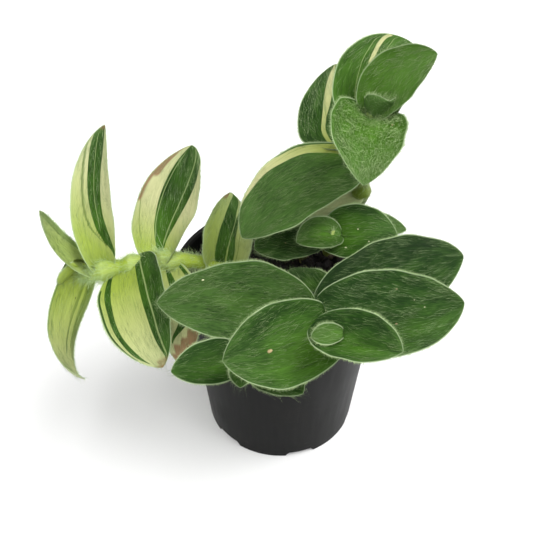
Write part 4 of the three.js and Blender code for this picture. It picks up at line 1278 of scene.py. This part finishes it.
def grit_material():
    """Tan bark and pale grit, by each speck's shade."""
    s = Shader("tan_grit", Roughness=0.7)
    shade = s.attribute("shade", "Fac")
    color = s.mix(shade.between(1.7, 2.0), s.tint(TAN_BARK, shade), PALE_GRIT)
    return s.finish(Base_Color=color)


def floor_material(settings):
    """Plain pale floor."""
    s = Shader("pale_floor", Roughness=0.75, Specular_IOR_Level=0.2)
    place = s.place()
    cloud = s.noise(place, 3.0, 2.0)
    return s.finish(Base_Color=s.tint(settings.floor, cloud * 0.02 + 0.99))


# Stage


def add_camera(scene, settings):
    """A camera in front of the plant that looks down at the target."""
    away = np.array([0, -math.cos(settings.elevation), math.sin(settings.elevation)])
    camera = bpy.data.objects.new("camera", bpy.data.cameras.new("camera"))
    camera.location = np.array(TARGET) * MM + away * settings.distance
    camera.rotation_euler = (math.pi / 2 - settings.elevation, 0, 0)
    camera.data.lens = settings.focal
    camera.data.sensor_width = 36
    camera.data.clip_start = 0.01
    scene.collection.objects.link(camera)
    scene.camera = camera


def add_floor(scene, settings):
    """A pale square floor of ten by ten faces."""
    side = np.linspace(-FLOOR_REACH, FLOOR_REACH, 11)
    x, y = np.meshgrid(side, side, indexing="ij")
    index = np.arange(121).reshape(11, 11)
    quads = np.stack([index[:-1, :-1], index[1:, :-1], index[1:, 1:], index[:-1, 1:]], -1)
    points = np.stack([x, y, np.full(x.shape, -FLOOR_DEPTH)], -1).reshape(-1, 3)
    mesh = bpy.data.meshes.new("floor")
    mesh.from_pydata(points.tolist(), [], quads.reshape(-1, 4).tolist())
    mesh.materials.append(floor_material(settings))
    floor = bpy.data.objects.new("floor", mesh)
    scene.collection.objects.link(floor)


def add_light(scene, name, place, energy, size):
    """A square light that faces the plant."""
    lamp = bpy.data.lights.new(name, "AREA")
    lamp.energy = energy
    lamp.size = size
    light = bpy.data.objects.new(name, lamp)
    light.location = place
    direction = np.array(place) - LIGHT_AIM
    light.rotation_euler = (math.atan2(math.hypot(*direction[:2]), direction[2]), 0,
                            math.atan2(direction[0], -direction[1]))
    scene.collection.objects.link(light)


def add_surround(scene, settings):
    """An even white surround, and a view that shows colours as they are."""
    world = bpy.data.worlds.new("white_surround")
    world.use_nodes = True
    background = world.node_tree.nodes["Background"].inputs
    background["Color"].default_value = (1, 1, 1, 1)
    background["Strength"].default_value = settings.sky
    scene.world = world
    scene.view_settings.view_transform = "Standard"


# Operators


class TRADESCANTIA_OT_pot(Operator):
    """Add the nursery pot: its wall, its floor with drain holes and the pad under it"""

    bl_idname = "tradescantia.pot"
    bl_label = "Add Pot"

    def execute(self, context):
        settings = context.scene.tradescantia_pot
        patches = [pot_wall(settings), pot_pad()]
        patches += [pot_floor_sector(index) for index in range(DRAIN_HOLES)]
        pot = build("nursery_pot", patches, pot_material(settings), ["pot"])
        pot.data.set_sharp_from_angle(angle=math.radians(35))
        return {"FINISHED"}


class TRADESCANTIA_OT_mix(Operator):
    """Add the potting mix: its body, loose crumbs and dry fibres"""

    bl_idname = "tradescantia.mix"
    bl_label = "Add Potting Mix"

    def execute(self, context):
        settings = context.scene.tradescantia_mix
        look = mix_material(settings)
        build("mix_body", [soil_patch(settings)], look, ["soil"])
        loose = [crumb_patch(settings), fibre_patch(settings)]
        build("mix_crumbs", loose, look, [], smooth=False)
        return {"FINISHED"}


class TRADESCANTIA_OT_stems(Operator):
    """Add the five stems, each a ribbed tube with a sheath below every leaf"""

    bl_idname = "tradescantia.stems"
    bl_label = "Add Stems"

    def execute(self, context):
        look = stem_material(context.scene.tradescantia_foliage)
        for number, (name, stem) in enumerate(STEMS.items()):
            build(f"{name}_stalk", [stem_patch(stem, number)], look, [name])
        return {"FINISHED"}


class TRADESCANTIA_OT_blades(Operator):
    """Add the leaf blades, joined for each stem"""

    bl_idname = "tradescantia.blades"
    bl_label = "Add Leaf Blades"

    def execute(self, context):
        settings = context.scene.tradescantia_foliage
        look = blade_material(settings)
        for order, (name, stem) in enumerate(STEMS.items()):
            patches = [blade_patch(leaf, 10 * order + k, settings)
                       for k, leaf in enumerate(stem.leaves)]
            build(f"{name}_blades", patches, look, [name])
        return {"FINISHED"}


class TRADESCANTIA_OT_hairs(Operator):
    """Add the hairs on blades, margins and stems, joined for each stem"""

    bl_idname = "tradescantia.hairs"
    bl_label = "Add Hairs"

    def execute(self, context):
        hair = context.scene.tradescantia_hair
        foliage = context.scene.tradescantia_foliage
        look = hair_material(hair)
        for order, (name, stem) in enumerate(STEMS.items()):
            rng = np.random.default_rng(100 + order)
            patches = [stem_hairs(stem, rng, hair)]
            for leaf in stem.leaves:
                patches += blade_hairs(leaf, rng, hair, foliage)
                if leaf.shag > SHAGGY:
                    patches.append(loose_hairs(leaf, rng, hair, foliage))
                patches.append(margin_hairs(leaf, rng, hair, foliage))
            build(f"{name}_hairs", patches, look, [name], smooth=False)
        return {"FINISHED"}


class TRADESCANTIA_OT_grit(Operator):
    """Add the specks that lie on the leaves"""

    bl_idname = "tradescantia.grit"
    bl_label = "Add Grit"

    def execute(self, context):
        patch = grit_patch(context.scene.tradescantia_foliage)
        build("leaf_grit", [patch], grit_material(), [], smooth=False)
        return {"FINISHED"}


class TRADESCANTIA_OT_stage(Operator):
    """Add the camera, the pale floor and the soft lights"""

    bl_idname = "tradescantia.stage"
    bl_label = "Add Stage"

    def execute(self, context):
        scene = context.scene
        settings = scene.tradescantia_stage
        add_camera(scene, settings)
        add_floor(scene, settings)
        for name, (place, share, size) in LIGHTS.items():
            add_light(scene, name, place, settings.key * share, size)
        add_surround(scene, settings)
        return {"FINISHED"}


class TRADESCANTIA_PT_panel(Panel):
    """Lists the pieces of the plant"""

    bl_label = "Tradescantia"
    bl_idname = "TRADESCANTIA_PT_panel"
    bl_space_type = "VIEW_3D"
    bl_region_type = "UI"
    bl_category = "Tradescantia"

    def draw(self, context):
        for name, (_, operators) in GROUPS.items():
            box = self.layout.box()
            for operator in operators:
                box.operator(operator.bl_idname)
            settings = getattr(context.scene, name)
            for key in settings.__annotations__:
                box.prop(settings, key)


# For each group of settings its class and the operators that read it
GROUPS = {
    "tradescantia_stage": (StageSettings, [TRADESCANTIA_OT_stage]),
    "tradescantia_pot": (PotSettings, [TRADESCANTIA_OT_pot]),
    "tradescantia_mix": (MixSettings, [TRADESCANTIA_OT_mix]),
    "tradescantia_foliage": (
        FoliageSettings, [TRADESCANTIA_OT_stems, TRADESCANTIA_OT_blades, TRADESCANTIA_OT_grit]),
    "tradescantia_hair": (HairSettings, [TRADESCANTIA_OT_hairs]),
}


def register():
    """Makes the settings, operators and panel known to Blender."""
    for name, (group, operators) in GROUPS.items():
        bpy.utils.register_class(group)
        setattr(bpy.types.Scene, name, PointerProperty(type=group))
        for operator in operators:
            bpy.utils.register_class(operator)
    bpy.utils.register_class(TRADESCANTIA_PT_panel)


def unregister():
    """Takes out again what register put in."""
    bpy.utils.unregister_class(TRADESCANTIA_PT_panel)
    for name, (group, operators) in GROUPS.items():
        for operator in operators:
            bpy.utils.unregister_class(operator)
        delattr(bpy.types.Scene, name)
        bpy.utils.unregister_class(group)


def main():
    """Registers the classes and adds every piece."""
    register()
    bpy.ops.tradescantia.stage()
    bpy.ops.tradescantia.pot()
    bpy.ops.tradescantia.mix()
    bpy.ops.tradescantia.stems()
    bpy.ops.tradescantia.blades()
    bpy.ops.tradescantia.hairs()
    bpy.ops.tradescantia.grit()


if __name__ == "__main__":
    main()
